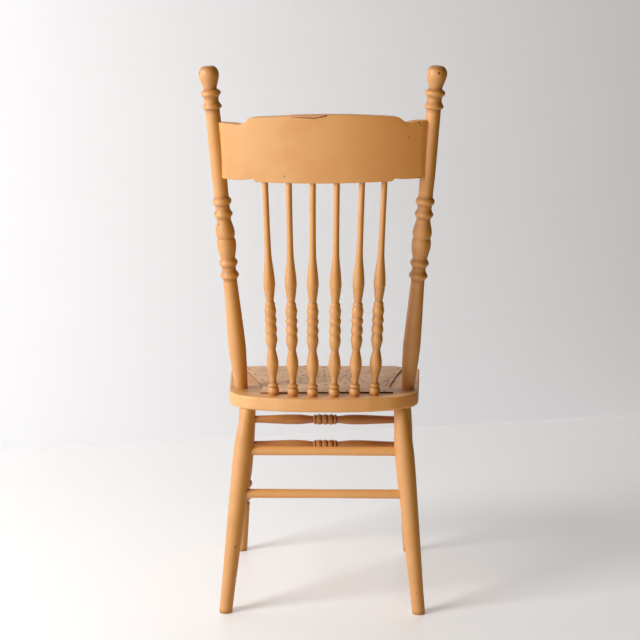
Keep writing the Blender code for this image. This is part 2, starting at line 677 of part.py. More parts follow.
def build_stretchers():
    """Make the stretchers and return the sockets that each leg needs."""
    plans = []
    for level, height in REAR_STRETCHER_HEIGHTS.items():
        plans.append(("rear_stretcher_" + level, ("rear", -1), ("rear", 1), height, "plain"))
    for level, height in FRONT_STRETCHER_HEIGHTS.items():
        plans.append(("front_stretcher_" + level, ("front", -1), ("front", 1), height, "turned"))
    for side in (1, -1):
        for level, height in SIDE_STRETCHER_HEIGHTS.items():
            name = "side_stretcher_" + name_of_side(side) + "_" + level
            plans.append((name, ("front", side), ("rear", side), height, "plain"))
    sockets = {(row, side): [] for row in ("rear", "front") for side in (1, -1)}
    for name, first, last, height, style in plans:
        start, end = leg_point(*first, height), leg_point(*last, height)
        along = (end - start).normalized()
        start, end = start + along * STRETCHER_TIP_GAP, end - along * STRETCHER_TIP_GAP
        half = (end - start).length / 2
        shares = PLAIN_STRETCHER_SHARES if style == "plain" else TURNED_STRETCHER_SHARES
        radius = PLAIN_STRETCHER_RADIUS if style == "plain" else TURNED_STRETCHER_RADIUS
        outline = stretcher_outline(shares, half, radius)
        finish(stand(lathe(name, outline, STRETCHER_SIDES, PARTS), start, end))
        wide = stretcher_outline(shares, half, radius, FIT_GAP)
        socket = stand(lathe(name + "_socket", wide, STRETCHER_SIDES, CUTTERS), start, end)
        sockets[first].append(socket)
        sockets[last].append(socket)
    return sockets


# Seat frame, perforated panel and tacks

def seat_outline():
    """Straight sides and round corners; the front edge bows a little, the rear edge more."""
    half_rear, half_front = SEAT_REAR_WIDTH / 2, SEAT_FRONT_WIDTH / 2
    steps = 2 * ARC_STEPS

    def bowed(half, radius, corner_radius, y_of):
        """One edge from its left corner to its right corner, on a wide arc between them."""
        inner = half - corner_radius
        spots = [inner * (1 - 2 * step / steps) for step in range(steps + 1)]
        between = [(x, y_of(arc_depth(x, radius)), 0.0) for x in spots]
        y = y_of(arc_depth(half, radius))
        return [(half, y, corner_radius)] + between + [(-half, y, corner_radius)]

    rear = bowed(half_rear, SEAT_REAR_EDGE_RADIUS, SEAT_REAR_CORNER_RADIUS, lambda fall: -fall)
    front = bowed(half_front, SEAT_FRONT_EDGE_RADIUS, SEAT_FRONT_CORNER_RADIUS,
                  lambda fall: fall - SEAT_DEPTH)
    return rounded_outline(front[::-1] + rear)


def opening_outline():
    rear, front = -OPENING_SETBACK, -OPENING_SETBACK - OPENING_DEPTH
    corners = [(-OPENING_FRONT_WIDTH / 2, front), (OPENING_FRONT_WIDTH / 2, front),
               (OPENING_REAR_WIDTH / 2, rear), (-OPENING_REAR_WIDTH / 2, rear)]
    return rounded_outline([(x, y, OPENING_CORNER_RADIUS) for x, y in corners])


def turned(point):
    """A point of the panel, turned with it about the middle of its pattern."""
    middle = Vector((0.0, -PATTERN_SETBACK))
    arm = point - middle
    arm.rotate(Matrix.Rotation(PANEL_TURN, 2))
    return middle + arm


def panel_outline(inset=0.0):
    """Panel edge, scalloped past the back posts; the panel lies turned a little on the frame."""
    half, depth = PANEL_WIDTH / 2 - inset, PANEL_DEPTH - 2 * inset
    edges = {}
    for side in (1, -1):
        edges[side] = []
        for out, along in PANEL_SIDE_SHARES:
            spot = Vector((side * out * half, -PANEL_SETBACK - inset - along * depth))
            edges[side].append(turned(spot))
    return edges[1][::-1] + edges[-1]


def spread_along(outline, count):
    """Evenly spaced points round a closed outline."""
    lengths = [(outline[i] - outline[i - 1]).length for i in range(len(outline))]
    total = sum(lengths)
    points, walked, edge = [], 0.0, 0
    for step in range(count):
        target = total * (step + 0.5) / count
        while walked + lengths[edge] < target:
            walked += lengths[edge]
            edge += 1
        share = (target - walked) / lengths[edge]
        points.append(outline[edge - 1].lerp(outline[edge], share))
    return points


def ring_loop(centre, turn, long_radius, short_radius, sides):
    """A small round or oval hole, its long axis turned by an angle."""
    loop = []
    for step in range(sides):
        angle = math.tau * step / sides
        spot = Vector((long_radius * math.cos(angle), short_radius * math.sin(angle)))
        spot.rotate(Matrix.Rotation(turn, 2))
        loop.append(centre + spot)
    return loop


def pattern_holes():
    """A star of tangential slots on its arms, with round dots between and beside them."""
    middle = Vector((0.0, -PATTERN_SETBACK))
    dot = DOT_DIAMETER / 2
    loops = [ring_loop(middle, 0.0, dot, dot, HOLE_SIDES)]
    step = math.tau / PATTERN_ARMS

    def place(share, angle):
        out = PATTERN_RADIUS * share
        return turned(middle + out * Vector((math.sin(angle), math.cos(angle))))

    for arm in range(PATTERN_ARMS):
        angle = arm * step
        for share in SLOT_RING_SHARES:
            loops.append(ring_loop(place(share, angle), angle, SLOT_LENGTH / 2, SLOT_WIDTH / 2,
                                   HOLE_SIDES))
        for share in DOT_RING_SHARES:
            loops.append(ring_loop(place(share, angle + step / 2), 0.0, dot, dot, HOLE_SIDES))
        for side in (1, -1):
            turn = angle + side * step / 2 * SIDE_DOT_TURN_SHARE
            for share in SIDE_DOT_RING_SHARES:
                loops.append(ring_loop(place(share, turn), 0.0, dot, dot, HOLE_SIDES))
    return loops


def build_seat():
    spots = spread_along(panel_outline(TACK_INSET), TACK_COUNT)
    shank = TACK_SHANK_DIAMETER / 2
    frame = flat_shape("seat_frame", [seat_outline(), opening_outline()], SEAT_THICKNESS, PARTS,
                       SEAT_ROUNDING)
    frame.location.z = SEAT_HEIGHT - SEAT_THICKNESS / 2
    cut(frame, SEAT_SOCKETS)
    finish(frame)

    holes = [ring_loop(spot, 0.0, grown(shank), grown(shank), TACK_SIDES) for spot in spots]
    panel = flat_shape("seat_panel", [panel_outline()] + pattern_holes() + holes,
                       PANEL_THICKNESS, PARTS)
    panel.location.z = SEAT_HEIGHT + FIT_GAP + PANEL_THICKNESS / 2
    finish(panel, PANEL_COLOUR)

    for index, spot in enumerate(spots):
        build_tack("panel_tack_%02d" % (index + 1), spot, frame)


def build_tack(name, spot, frame):
    """One tack, a low domed head on a shank through the panel, with its hole in the frame."""
    head, shank = TACK_HEAD_DIAMETER / 2, TACK_SHANK_DIAMETER / 2
    under_head = TACK_REACH + PANEL_THICKNESS + 2 * FIT_GAP
    outline = [(under_head + TACK_HEAD_HEIGHT * up, head * out) for up, out in TACK_SHARES]
    outline += [(under_head, shank), (0.0, shank)]
    tack = lathe(name, outline, TACK_SIDES, PARTS)
    tip = Vector((spot.x, spot.y, SEAT_HEIGHT - TACK_REACH))
    tack.location = tip
    finish(tack, PANEL_COLOUR)
    top = Vector((spot.x, spot.y, SEAT_HEIGHT + CUT_OVERRUN))
    bottom = tip - Vector((0.0, 0.0, FIT_GAP))
    boolean(frame, peg(name + "_hole", bottom, top, grown(shank), TACK_SIDES))


def centre_over_origin():
    """Move the root so that the chair's box is centred over the origin, feet on the floor."""
    depsgraph = bpy.context.evaluated_depsgraph_get()
    low, high = math.inf, -math.inf
    for thing in PARTS.objects:
        if thing.type != "MESH":
            continue
        ready = thing.evaluated_get(depsgraph)
        for vertex in ready.data.vertices:
            y = (ready.matrix_world @ vertex.co).y
            low, high = min(low, y), max(high, y)
    ROOT.location.y = -(low + high) / 2


def main():
    build_back()
    build_spindles()
    build_legs(build_stretchers())
    build_seat()
    for thing in PARTS.objects:
        if thing.type == "MESH" and thing.modifiers and thing.modifiers[0].type != "SCREW":
            thing.data.set_sharp_from_angle(angle=SHARP_ANGLE)
    centre_over_origin()


main()
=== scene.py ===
"""Looks of a spindle back chair in caramel paint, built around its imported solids.

Metres, +Z up. The sitter faces -Y, and +X is the sitter's left. Every turned piece is redrawn with
round sections and soft beads, the rail and the seat get worn arrises, and the panel its clean holes.
"""
import math
from functools import partial

import bmesh
import bpy
from mathutils import Matrix, Vector


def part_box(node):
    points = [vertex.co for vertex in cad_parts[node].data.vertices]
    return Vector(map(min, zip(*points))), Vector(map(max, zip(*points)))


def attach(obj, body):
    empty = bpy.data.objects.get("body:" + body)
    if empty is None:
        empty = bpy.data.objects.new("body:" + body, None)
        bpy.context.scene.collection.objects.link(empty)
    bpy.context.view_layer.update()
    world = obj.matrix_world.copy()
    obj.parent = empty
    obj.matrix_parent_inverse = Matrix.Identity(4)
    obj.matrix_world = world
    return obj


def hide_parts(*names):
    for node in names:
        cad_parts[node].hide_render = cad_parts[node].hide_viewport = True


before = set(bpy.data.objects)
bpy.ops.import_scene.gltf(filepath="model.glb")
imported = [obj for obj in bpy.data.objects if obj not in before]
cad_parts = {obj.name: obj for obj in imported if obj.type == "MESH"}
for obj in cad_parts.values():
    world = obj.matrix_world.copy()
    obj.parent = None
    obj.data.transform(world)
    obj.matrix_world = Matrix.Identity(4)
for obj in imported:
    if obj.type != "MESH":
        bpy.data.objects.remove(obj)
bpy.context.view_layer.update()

MM = 0.001
SIDE_NAMES = {1: "left", -1: "right"}

# The layout that the solids use. Y is counted from the middle of the seat's rear edge.
REAR_EDGE_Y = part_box("seat_frame")[1].y
SEAT_HEIGHT = 0.445
SEAT_THICKNESS = 0.028
SEAT_UNDERSIDE = SEAT_HEIGHT - SEAT_THICKNESS
SEAT_DEPTH = 0.429
SEAT_REAR_WIDTH = 0.385
SEAT_FRONT_WIDTH = 0.441
SEAT_REAR_EDGE_RADIUS = 0.500
SEAT_FRONT_EDGE_RADIUS = 1.200
SEAT_REAR_CORNER_RADIUS = 0.095
SEAT_FRONT_CORNER_RADIUS = 0.030
OPENING_REAR_WIDTH = 0.224
OPENING_FRONT_WIDTH = 0.300
OPENING_DEPTH = 0.260
OPENING_SETBACK = 0.0995
OPENING_CORNER_RADIUS = 0.035
PANEL_THICKNESS = 0.003
PANEL_WIDTH = 0.364
PANEL_DEPTH = 0.340
PANEL_SETBACK = 0.0635
PANEL_TURN = math.radians(1.9)
PANEL_LIFT = 0.0003
PATTERN_SETBACK = 0.2665
PATTERN_RADIUS = 0.115
PATTERN_ARMS = 8
POST_LENGTH = 0.668
POST_RADIUS = 0.0197
POST_BASE_SPREAD = 0.3496
POST_SETBACK = 0.125
POST_LEAN = math.radians(12.0)
POST_SPLAY = math.radians(4.0)
BACK_SHIFT = -0.0012
BACK_RACK = 0.005
CREST_TILT = math.radians(0.4)
CREST_HEIGHT = 0.930
CREST_DROP = 0.0464
CREST_SLIP = -0.0015
CREST_BOW = 0.0507
CREST_THICKNESS = 0.020
CREST_NECK = 0.009
CREST_END_SETBACK = 0.026
CREST_END_RUN = 0.0138
CREST_END_RADIUS = 0.020
SPINDLE_COUNT = 6
SPINDLE_RADIUS = 0.0125
SPINDLE_SEAT_PITCH = 0.041
SPINDLE_CREST_PITCH = 0.047
SPINDLE_SEAT_DRIFTS = (-0.0013, 0.0, 0.0013, -0.0013, -0.0016, -0.0008)
SPINDLE_CREST_DRIFTS = (-0.0042, -0.0040, -0.0038, -0.0034, -0.0054, -0.0022)
SPINDLE_SETBACK = 0.0285
SPINDLE_ROW_RADIUS = 0.310
LEG_RADIUS = 0.0197
REAR_LEG_TOP_SPREAD = 0.3116
REAR_LEG_TOP_SHIFT = -0.0012
REAR_LEG_TOP_SETBACK = 0.0525
REAR_FOOT_SPREAD = 0.3952
REAR_FOOT_SHIFT = 0.0018
REAR_FOOT_RAKE = 0.044
FRONT_LEG_TOP_SPREAD = 0.356
FRONT_LEG_TOP_INSET = 0.0545
FRONT_FOOT_SPREAD = 0.400
FRONT_FOOT_RAKE = 0.037
PLAIN_STRETCHER_RADIUS = 0.0093
TURNED_STRETCHER_RADIUS = 0.0122
REAR_STRETCHER_HEIGHTS = {"upper": 0.3294, "lower": 0.2424}
FRONT_STRETCHER_HEIGHTS = {"upper": 0.325, "lower": 0.263}
SIDE_STRETCHER_HEIGHTS = {"upper": 0.295, "lower": 0.205}

# How far a turned piece runs into its neighbour, where its shoulder is sawn, how fine it is.
SOCKET_RUN = 0.006
SHOULDER_GAP = 0.0002
AXIS_RADIUS = 2e-5
SAME_RING = 1e-5
BEAD_STEPS = 10
BEAD_FULLNESS = 0.8
RUN_STEPS = 4
POST_SIDES = 48
SPINDLE_SIDES = 36
TACK_SIDES = 20
PIN_SIDES = 16
TURNED_CORNER = math.radians(42.0)

# Where paint, dirt and painted shade gather on a turned piece: reaches and sizes of grooves and
# proud rings, and the inward turn between two neighbouring rings, in degrees, at which a crease starts.
GROOVE_REACH = 0.007
GROOVE_DEPTH = 0.004
RIDGE_REACH = 0.005
RIDGE_HEIGHT = 0.003
CREASE_START = 28.0
CREASE_SPAN = 25.0

# Turned profiles as shares of the piece's length and of its largest radius, from the top down.
# A row of pairs is a smooth run; four plain numbers are a bead: start, end, base and peak.
POST_SHARES = (
    ((0.9998, 0.0), (0.9994, 0.38), (0.9985, 0.55), (0.9965, 0.68), (0.993, 0.8), (0.989, 0.895),
     (0.9835, 0.965), (0.978, 1.0), (0.972, 0.995), (0.9665, 0.955), (0.959, 0.88),
     (0.949, 0.775), (0.94, 0.68), (0.9345, 0.64)),
    ((0.9345, 0.64), (0.931, 0.78), (0.9285, 0.895), (0.9255, 0.97), (0.9225, 0.995),
     (0.919, 0.965), (0.9155, 0.875), (0.912, 0.77)),
    ((0.912, 0.77), (0.908, 0.725), (0.903, 0.71), (0.8985, 0.72), (0.894, 0.775), (0.889, 0.88),
     (0.8855, 0.95), (0.883, 0.965), (0.88, 0.91), (0.8775, 0.8), (0.8755, 0.715)),
    ((0.8755, 0.715), (0.868, 0.72), (0.85, 0.73), (0.756, 0.755), (0.68, 0.77), (0.655, 0.75),
     (0.64, 0.735), (0.625, 0.733), (0.6145, 0.745)),
    ((0.6145, 0.745), (0.612, 0.81), (0.609, 0.9), (0.605, 0.96), (0.601, 0.965), (0.597, 0.92),
     (0.5935, 0.84), (0.591, 0.765)),
    ((0.591, 0.765), (0.588, 0.735), (0.583, 0.72), (0.578, 0.735), (0.5735, 0.79),
     (0.569, 0.88), (0.565, 0.945), (0.562, 0.955), (0.5585, 0.905), (0.555, 0.82),
     (0.552, 0.75)),
    ((0.552, 0.75), (0.549, 0.725), (0.5455, 0.718), (0.54, 0.745), (0.5345, 0.785),
     (0.525, 0.875), (0.516, 0.94), (0.5065, 0.985), (0.499, 0.955), (0.4925, 0.91),
     (0.4895, 0.868)),
    ((0.4895, 0.868), (0.487, 0.9), (0.483, 0.95), (0.477, 0.98), (0.466, 0.987),
     (0.4575, 0.965), (0.4475, 0.9), (0.44, 0.845), (0.434, 0.8), (0.4295, 0.765),
     (0.4255, 0.752)),
    ((0.4255, 0.752), (0.4225, 0.79), (0.419, 0.87), (0.4155, 0.94), (0.412, 0.965),
     (0.4085, 0.945), (0.405, 0.875), (0.4015, 0.79), (0.3995, 0.745)),
    ((0.3995, 0.745), (0.3965, 0.72), (0.391, 0.71), (0.386, 0.735), (0.3815, 0.81),
     (0.3775, 0.9), (0.374, 0.955), (0.371, 0.965), (0.3675, 0.915), (0.364, 0.83),
     (0.361, 0.745)),
    ((0.361, 0.745), (0.3575, 0.71), (0.3525, 0.7), (0.344, 0.712), (0.324, 0.733),
     (0.298, 0.765), (0.285, 0.78), (0.2265, 0.845), (0.187, 0.88), (0.1475, 0.912),
     (0.118, 0.89), (0.077, 0.83), (0.044, 0.76), (0.012, 0.69), (0.0, 0.665)),
)
SPINDLE_SHARES = (
    ((1.0, 0.49), (0.93, 0.48), (0.82, 0.481), (0.735, 0.498), (0.7, 0.516), (0.67, 0.54),
     (0.65, 0.585), (0.625, 0.67), (0.6, 0.768), (0.575, 0.857), (0.553, 0.92), (0.535, 0.945),
     (0.524, 0.945), (0.5185, 0.9)),
    ((0.5185, 0.9), (0.514, 0.868), (0.5, 0.84), (0.485, 0.77), (0.47, 0.695), (0.459, 0.635),
     (0.4515, 0.595)),
    ((0.4515, 0.595), (0.447, 0.67), (0.441, 0.775), (0.435, 0.8), (0.427, 0.81),
     (0.4215, 0.835)),
    ((0.4215, 0.835), (0.416, 0.9), (0.4085, 0.945), (0.401, 0.93), (0.392, 0.87), (0.384, 0.83),
     (0.377, 0.8)),
    ((0.377, 0.8), (0.371, 0.865), (0.366, 0.945), (0.361, 0.965), (0.355, 0.92),
     (0.3475, 0.85), (0.3395, 0.795)),
    ((0.3395, 0.795), (0.332, 0.86), (0.324, 0.925), (0.317, 0.965), (0.31, 0.945),
     (0.303, 0.88), (0.2955, 0.81)),
    ((0.2955, 0.81), (0.288, 0.86), (0.279, 0.915), (0.2705, 0.955), (0.263, 0.93),
     (0.255, 0.875), (0.248, 0.82), (0.241, 0.775)),
    ((0.241, 0.775), (0.235, 0.72), (0.229, 0.665), (0.2225, 0.62), (0.217, 0.64), (0.205, 0.718),
     (0.19, 0.825), (0.175, 0.92), (0.162, 0.965), (0.145, 0.965), (0.126, 0.865),
     (0.102, 0.665), (0.084, 0.55), (0.07, 0.515), (0.06, 0.54)),
    ((0.06, 0.54), (0.058, 0.63), (0.0555, 0.77), (0.0515, 0.84), (0.047, 0.82),
     (0.0435, 0.7), (0.0415, 0.61)),
    ((0.0415, 0.61), (0.0395, 0.68), (0.0355, 0.8), (0.0295, 0.885), (0.0225, 0.915),
     (0.0145, 0.87), (0.007, 0.77), (0.0, 0.62)),
)
REAR_LEG_SHARES = (
    ((1.0, 0.69), (0.93, 0.775), (0.86, 0.92), (0.8, 0.99), (0.728, 1.01), (0.586, 0.945),
     (0.43, 0.865), (0.258, 0.779), (0.111, 0.7), (0.008, 0.675)),
    ((0.008, 0.675), (0.003, 0.665), (0.0, 0.64)),
)
FRONT_LEG_SHARES = (
    ((1.0, 0.777), (0.93, 0.86), (0.86, 0.94), (0.8, 0.985), (0.72, 1.0), (0.62, 0.975),
     (0.5, 0.88), (0.45, 0.79), (0.421, 0.71)),
    (0.421, 0.384, 0.7, 0.93),
    ((0.384, 0.7), (0.365, 0.68), (0.349, 0.7)),
    (0.349, 0.309, 0.7, 0.91),
    ((0.309, 0.66), (0.3, 0.62), (0.292, 0.64)),
    (0.292, 0.264, 0.64, 0.765),
    ((0.264, 0.7), (0.258, 0.735), (0.123, 0.7), (0.008, 0.66)),
    ((0.008, 0.66), (0.003, 0.65), (0.0, 0.62)),
)
# Stretcher profiles run from the middle to one tip, as shares of half the length.
PLAIN_STRETCHER_SHARES = (
    ((0.0, 0.97), (0.3, 0.98), (0.6, 1.0), (0.9, 1.0), (0.97, 0.98), (1.0, 0.95)),
)
TURNED_STRETCHER_SHARES = (
    (-0.0375, 0.0375, 0.72, 1.0),
    (0.0375, 0.112, 0.72, 1.0),
    (0.112, 0.148, 0.68, 0.96),
    ((0.148, 0.67), (0.16, 0.68), (0.25, 0.84), (0.32, 0.925), (0.389, 0.945), (0.5, 0.92),
     (0.65, 0.82), (0.8, 0.72), (0.92, 0.68), (1.0, 0.67)),
)

# The crest's outline in millimetres from the middle: rise at the sitter's left and right.
CREST_TOP_MM = (
    (0, 85.1, 85.1), (20, 85.0, 85.0), (40, 84.3, 84.5), (56, 83.6, 83.9), (71, 82.4, 82.9),
    (87, 81.3, 81.9), (102, 80.4, 80.7), (118, 79.3, 79.4), (128, 78.5, 78.2), (134, 77.7, 77.5),
    (138, 77.1, 76.8), (141, 76.1, 76.1), (143, 75.2, 75.7), (145, 73.0, 74.9), (147, 70.5, 73.2),
    (149, 68.3, 71.0), (152, 66.4, 69.1), (155, 65.0, 67.2), (158, 64.0, 65.4), (161, 63.6, 64.6),
    (164, 63.9, 64.5), (168, 64.4, 65.3), (172, 64.6, 66.2), (180, 64.8, 66.7), (190, 65.0, 66.9),
    (200, 65.3, 67.2), (209, 65.6, 67.4))
CREST_BOTTOM_MM = (
    (0, -46.4, -46.4), (60, -46.3, -46.4), (100, -46.6, -46.7), (126, -46.7, -47.1),
    (129, -46.6, -47.2), (131, -46.1, -46.2), (133, -43.3, -44.3), (135, -41.1, -42.9),
    (137, -40.9, -42.3), (139, -41.2, -42.2), (143, -41.8, -43.1), (147, -42.5, -43.8),
    (151, -43.1, -44.2), (155, -43.7, -44.4), (160, -44.2, -44.7), (170, -44.7, -45.1),
    (180, -44.8, -45.3), (188, -44.7, -45.2), (209, -44.3, -44.7))
CREST_ARRIS = 0.0016
CREST_CURVE_STEPS = 4
# Start, step and count of the rail's sections along each half, closest at the notches.
CREST_STATIONS_MM = ((0.0, 4.0, 30), (120.0, 1.0, 50), (170.0, 1.5, 26))
CREST_TIP_GAP_MM = 1.0
CREST_FLARE_RUN = 0.03

# The edge of the seat frame in section: inset from the outline and height below the top face.
SEAT_EDGE_MM = ((3.4, 0.0), (1.9, 0.3), (0.85, 1.0), (0.25, 2.1), (0.0, 3.8), (0.0, 21.4),
                (0.6, 24.0), (1.7, 26.3), (3.2, 27.5), (5.0, 28.0))
OPENING_EDGE_MM = ((1.5, 28.0), (0.4, 27.5), (0.0, 26.4), (0.0, 1.6), (0.4, 0.5), (1.5, 0.0))
EDGE_ARC_STEPS = 16
SEAT_CORNER_STEPS = 14
OPENING_CORNER_STEPS = 10
SEAT_CORNER = math.radians(50.0)

# Side of the panel, rear to front: shares of its half width and of its depth.
PANEL_SIDE_SHARES = ((0.748, 0.000), (0.738, 0.050), (0.734, 0.110), (0.736, 0.200),
                     (0.750, 0.235), (0.769, 0.298), (0.801, 0.385), (0.850, 0.520),
                     (0.919, 0.700), (0.970, 0.810), (0.995, 0.880), (0.990, 0.930),
                     (0.945, 0.980), (0.870, 1.000))
SLOT_RING_SHARES = (0.16, 0.41, 0.65, 1.00)
DOT_RING_SHARES = (0.38, 0.53, 0.72, 0.95)
SIDE_DOT_RING_SHARES = (0.53, 0.82)
SIDE_DOT_TURN_SHARE = 0.45
SLOT_LENGTH = 0.009
SLOT_WIDTH = 0.006
DOT_DIAMETER = 0.0055
SLOT_SIDES = 24
DOT_SIDES = 18
PANEL_SIDE_STEPS = 5
PANEL_SOFTENING = 0.0005
PANEL_BEVEL_STEPS = 2
PANEL_WELD = 0.00001
PANEL_CORNER = math.radians(35.0)

# Tack heads as shares of their radius and rise, from the crown out; brads as rings in section.
TACK_DOME_SHARES = ((0.0, 1.0), (0.3, 0.97), (0.6, 0.83), (0.82, 0.60), (0.95, 0.32), (1.0, 0.0))
TACK_HEAD_RADIUS = 0.0033
TACK_HEAD_RISE = 0.0015
TACK_SHANK_RADIUS = 0.0013
TACK_SHANK_LENGTH = 0.0012
PIN_RINGS_MM = ((21.9, 0.0), (21.8, 0.8), (21.4, 1.15), (20.4, 1.15), (19.8, 0.7), (0.0, 0.7))
PIN_POINT_DEPTH = 0.0101


# Geometry

def link(name, data):
    """Puts a mesh, curve, lamp or camera in the scene."""
    piece = bpy.data.objects.new(name, data)
    bpy.context.scene.collection.objects.link(piece)
    return piece


def finish_piece(piece, material, node):
    """Gives a piece its surface and its place on the chair's one body."""
    piece.data.materials.append(material)
    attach(piece, "root")
    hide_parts(node)


def settle(mesh, work, corner, all_smooth=True):
    """Writes a worked mesh back, with its faces outward and its real corners sharp."""
    bmesh.ops.recalc_face_normals(work, faces=work.faces)
    work.to_mesh(mesh)
    work.free()
    if all_smooth:
        mesh.shade_smooth()
    mesh.set_sharp_from_angle(angle=corner)


def catmull(points, steps):
    """A smooth line through points of any dimension, ends included."""
    line = []
    for i in range(len(points) - 1):
        p0 = points[max(i - 1, 0)]
        p1, p2 = points[i], points[i + 1]
        p3 = points[min(i + 2, len(points) - 1)]
        for step in range(steps):
            t = step / steps
            line.append(tuple(0.5 * (2 * b + (c - a) * t + (2 * a - 5 * b + 4 * c - d) * t * t
                       + (3 * b - a - 3 * c + d) * t ** 3) for a, b, c, d in zip(p0, p1, p2, p3)))
    line.append(tuple(points[-1]))
    return line


def profile(shares, length, radius):
    """(distance, radius) rings of a turned piece, with round beads and smooth runs."""
    rings = []
    for item in shares:
        if isinstance(item[0], tuple):
            made = catmull(item, RUN_STEPS)
        else:
            start, end, base, peak = item
            made = []
            for step in range(BEAD_STEPS + 1):
                angle = math.pi * step / BEAD_STEPS
                made.append((start + (end - start) * (1 - math.cos(angle)) / 2,
                             base + (peak - base) * math.sin(angle) ** BEAD_FULLNESS))
        for along, out in made:
            ring = (along * length, max(out, 0.0) * radius)
            if not rings or abs(ring[0] - rings[-1][0]) + abs(ring[1] - rings[-1][1]) > SAME_RING:
                rings.append(ring)
    return rings


def with_tenons(rings, length=None):
    """Runs a piece on into the socket at its foot and, with its length given, at its head."""
    head = [(length + SOCKET_RUN, rings[0][1])] if length else []
    return head + rings + [(-SOCKET_RUN, rings[-1][1])]


def marks_of(rings):
    """How deep in a groove, how proud and how sharply turned in each ring is, from 0 to 1."""
    marks = {"recess": [], "ridge": [], "crease": []}
    for index, (along, out) in enumerate(rings):
        around = [r for a, r in rings if abs(a - along) < GROOVE_REACH]
        close = [r for a, r in rings if abs(a - along) < RIDGE_REACH]
        turn = 0.0
        if 0 < index < len(rings) - 1:
            (a0, r0), (a1, r1), (a2, r2) = rings[index - 1:index + 2]
            before, after = math.atan2(r1 - r0, abs(a1 - a0)), math.atan2(r2 - r1, abs(a2 - a1))
            turn = math.degrees(after - before)
        for label, value in (("recess", (max(around) - out) / GROOVE_DEPTH),
                             ("ridge", (out - sum(close) / len(close)) / RIDGE_HEIGHT),
                             ("crease", (turn - CREASE_START) / CREASE_SPAN)):
            marks[label].append(min(max(value, 0.0), 1.0))
    return marks


def lofted(points, ring):
    """Faces of a skin over equal rings of points, one after the other, with a flat at each end."""
    faces = []
    for start in range(0, len(points) - ring, ring):
        for step in range(ring):
            a, b = start + step, start + (step + 1) % ring
            faces.append((a, a + ring, b + ring, b))
    return faces + [tuple(range(ring)), tuple(range(len(points) - ring, len(points)))[::-1]]


def turned(name, foot, head, rings, sides):
    """A round piece about the line from foot to head. rings are (distance from foot, radius)."""
    axis = (head - foot).normalized()
    across = axis.orthogonal().normalized()
    beside = axis.cross(across)
    points = []
    for along, out in rings:
        for side in range(sides):
            angle = math.tau * side / sides
            spoke = across * math.cos(angle) + beside * math.sin(angle)
            points.append(foot + axis * along + spoke * max(out, AXIS_RADIUS))
    faces = lofted(points, sides)
    if rings[0][0] < rings[-1][0]:
        faces = [face[::-1] for face in faces]
    mesh = bpy.data.meshes.new(name)
    mesh.from_pydata(points, [], faces)
    for label, values in marks_of(rings).items():
        layer = mesh.attributes.new(label, "FLOAT", "POINT")
        layer.data.foreach_set("value", [value for value in values for _ in range(sides)])
    mesh.shade_smooth()
    mesh.set_sharp_from_angle(angle=TURNED_CORNER)
    return link(name, mesh)


def arc_depth(x, radius):
    return radius - math.sqrt(radius * radius - x * x)


def post_point(side, height):
    up = height - SEAT_HEIGHT
    x = side * (POST_BASE_SPREAD / 2 + up * math.tan(POST_SPLAY)) + BACK_SHIFT + up * BACK_RACK
    return Vector((x, REAR_EDGE_Y - POST_SETBACK + up * math.tan(POST_LEAN), height))


CREST_HALF = (post_point(1, CREST_HEIGHT).x - post_point(-1, CREST_HEIGHT).x) / 2
CREST_RADIUS = (CREST_HALF ** 2 + CREST_BOW ** 2) / (2 * CREST_BOW)
CREST_HALF_ARC = CREST_RADIUS * math.asin(CREST_HALF / CREST_RADIUS)
CREST_MIDDLE = (post_point(1, CREST_HEIGHT) + post_point(-1, CREST_HEIGHT)) / 2
CREST_FRAME = (Matrix.Translation(CREST_MIDDLE) @ Matrix.Rotation(-POST_LEAN, 4, "X")
               @ Matrix.Rotation(CREST_TILT, 4, "Y"))


def crest_point(x, rise):
    """A point of the rail's middle plane, x straight across and rise up the lean."""
    return CREST_FRAME @ Vector((x, CREST_BOW - arc_depth(x, CREST_RADIUS), rise))


def bent_point(x, depth, rise, widen=0.0):
    """A point of the rail, x along the bend, depth behind its middle line, rise up the lean."""
    angle, reach = x / CREST_RADIUS, CREST_RADIUS + depth
    return CREST_FRAME @ Vector((reach * math.sin(angle) + widen,
                                 reach * math.cos(angle) - CREST_RADIUS + CREST_BOW, rise))


def leg_ends(row, side):
    if row == "rear":
        top_y = REAR_EDGE_Y - REAR_LEG_TOP_SETBACK
        top_x = side * REAR_LEG_TOP_SPREAD / 2 + REAR_LEG_TOP_SHIFT
        foot_x = side * REAR_FOOT_SPREAD / 2 + REAR_FOOT_SHIFT
        foot_y = top_y + REAR_FOOT_RAKE
    else:
        top_y = REAR_EDGE_Y - SEAT_DEPTH + FRONT_LEG_TOP_INSET
        top_x = side * FRONT_LEG_TOP_SPREAD / 2
        foot_x = side * FRONT_FOOT_SPREAD / 2
        foot_y = top_y - FRONT_FOOT_RAKE
    return Vector((foot_x, foot_y, 0.0)), Vector((top_x, top_y, SEAT_UNDERSIDE))


def leg_point(row, side, height):
    foot, top = leg_ends(row, side)
    return foot.lerp(top, height / SEAT_UNDERSIDE)


def saw_flat(piece, level, keep_above):
    """Saws a turned piece flat at a height, as its foot or its shoulder is."""
    work = bmesh.new()
    work.from_mesh(piece.data)
    cut = bmesh.ops.bisect_plane(work, geom=work.verts[:] + work.edges[:] + work.faces[:],
                                 plane_co=(0.0, 0.0, level), plane_no=(0.0, 0.0, 1.0),
                                 clear_inner=keep_above, clear_outer=not keep_above)
    edges = [item for item in cut["geom_cut"] if isinstance(item, bmesh.types.BMEdge)]
    bmesh.ops.holes_fill(work, edges=edges)
    settle(piece.data, work, TURNED_CORNER, all_smooth=False)


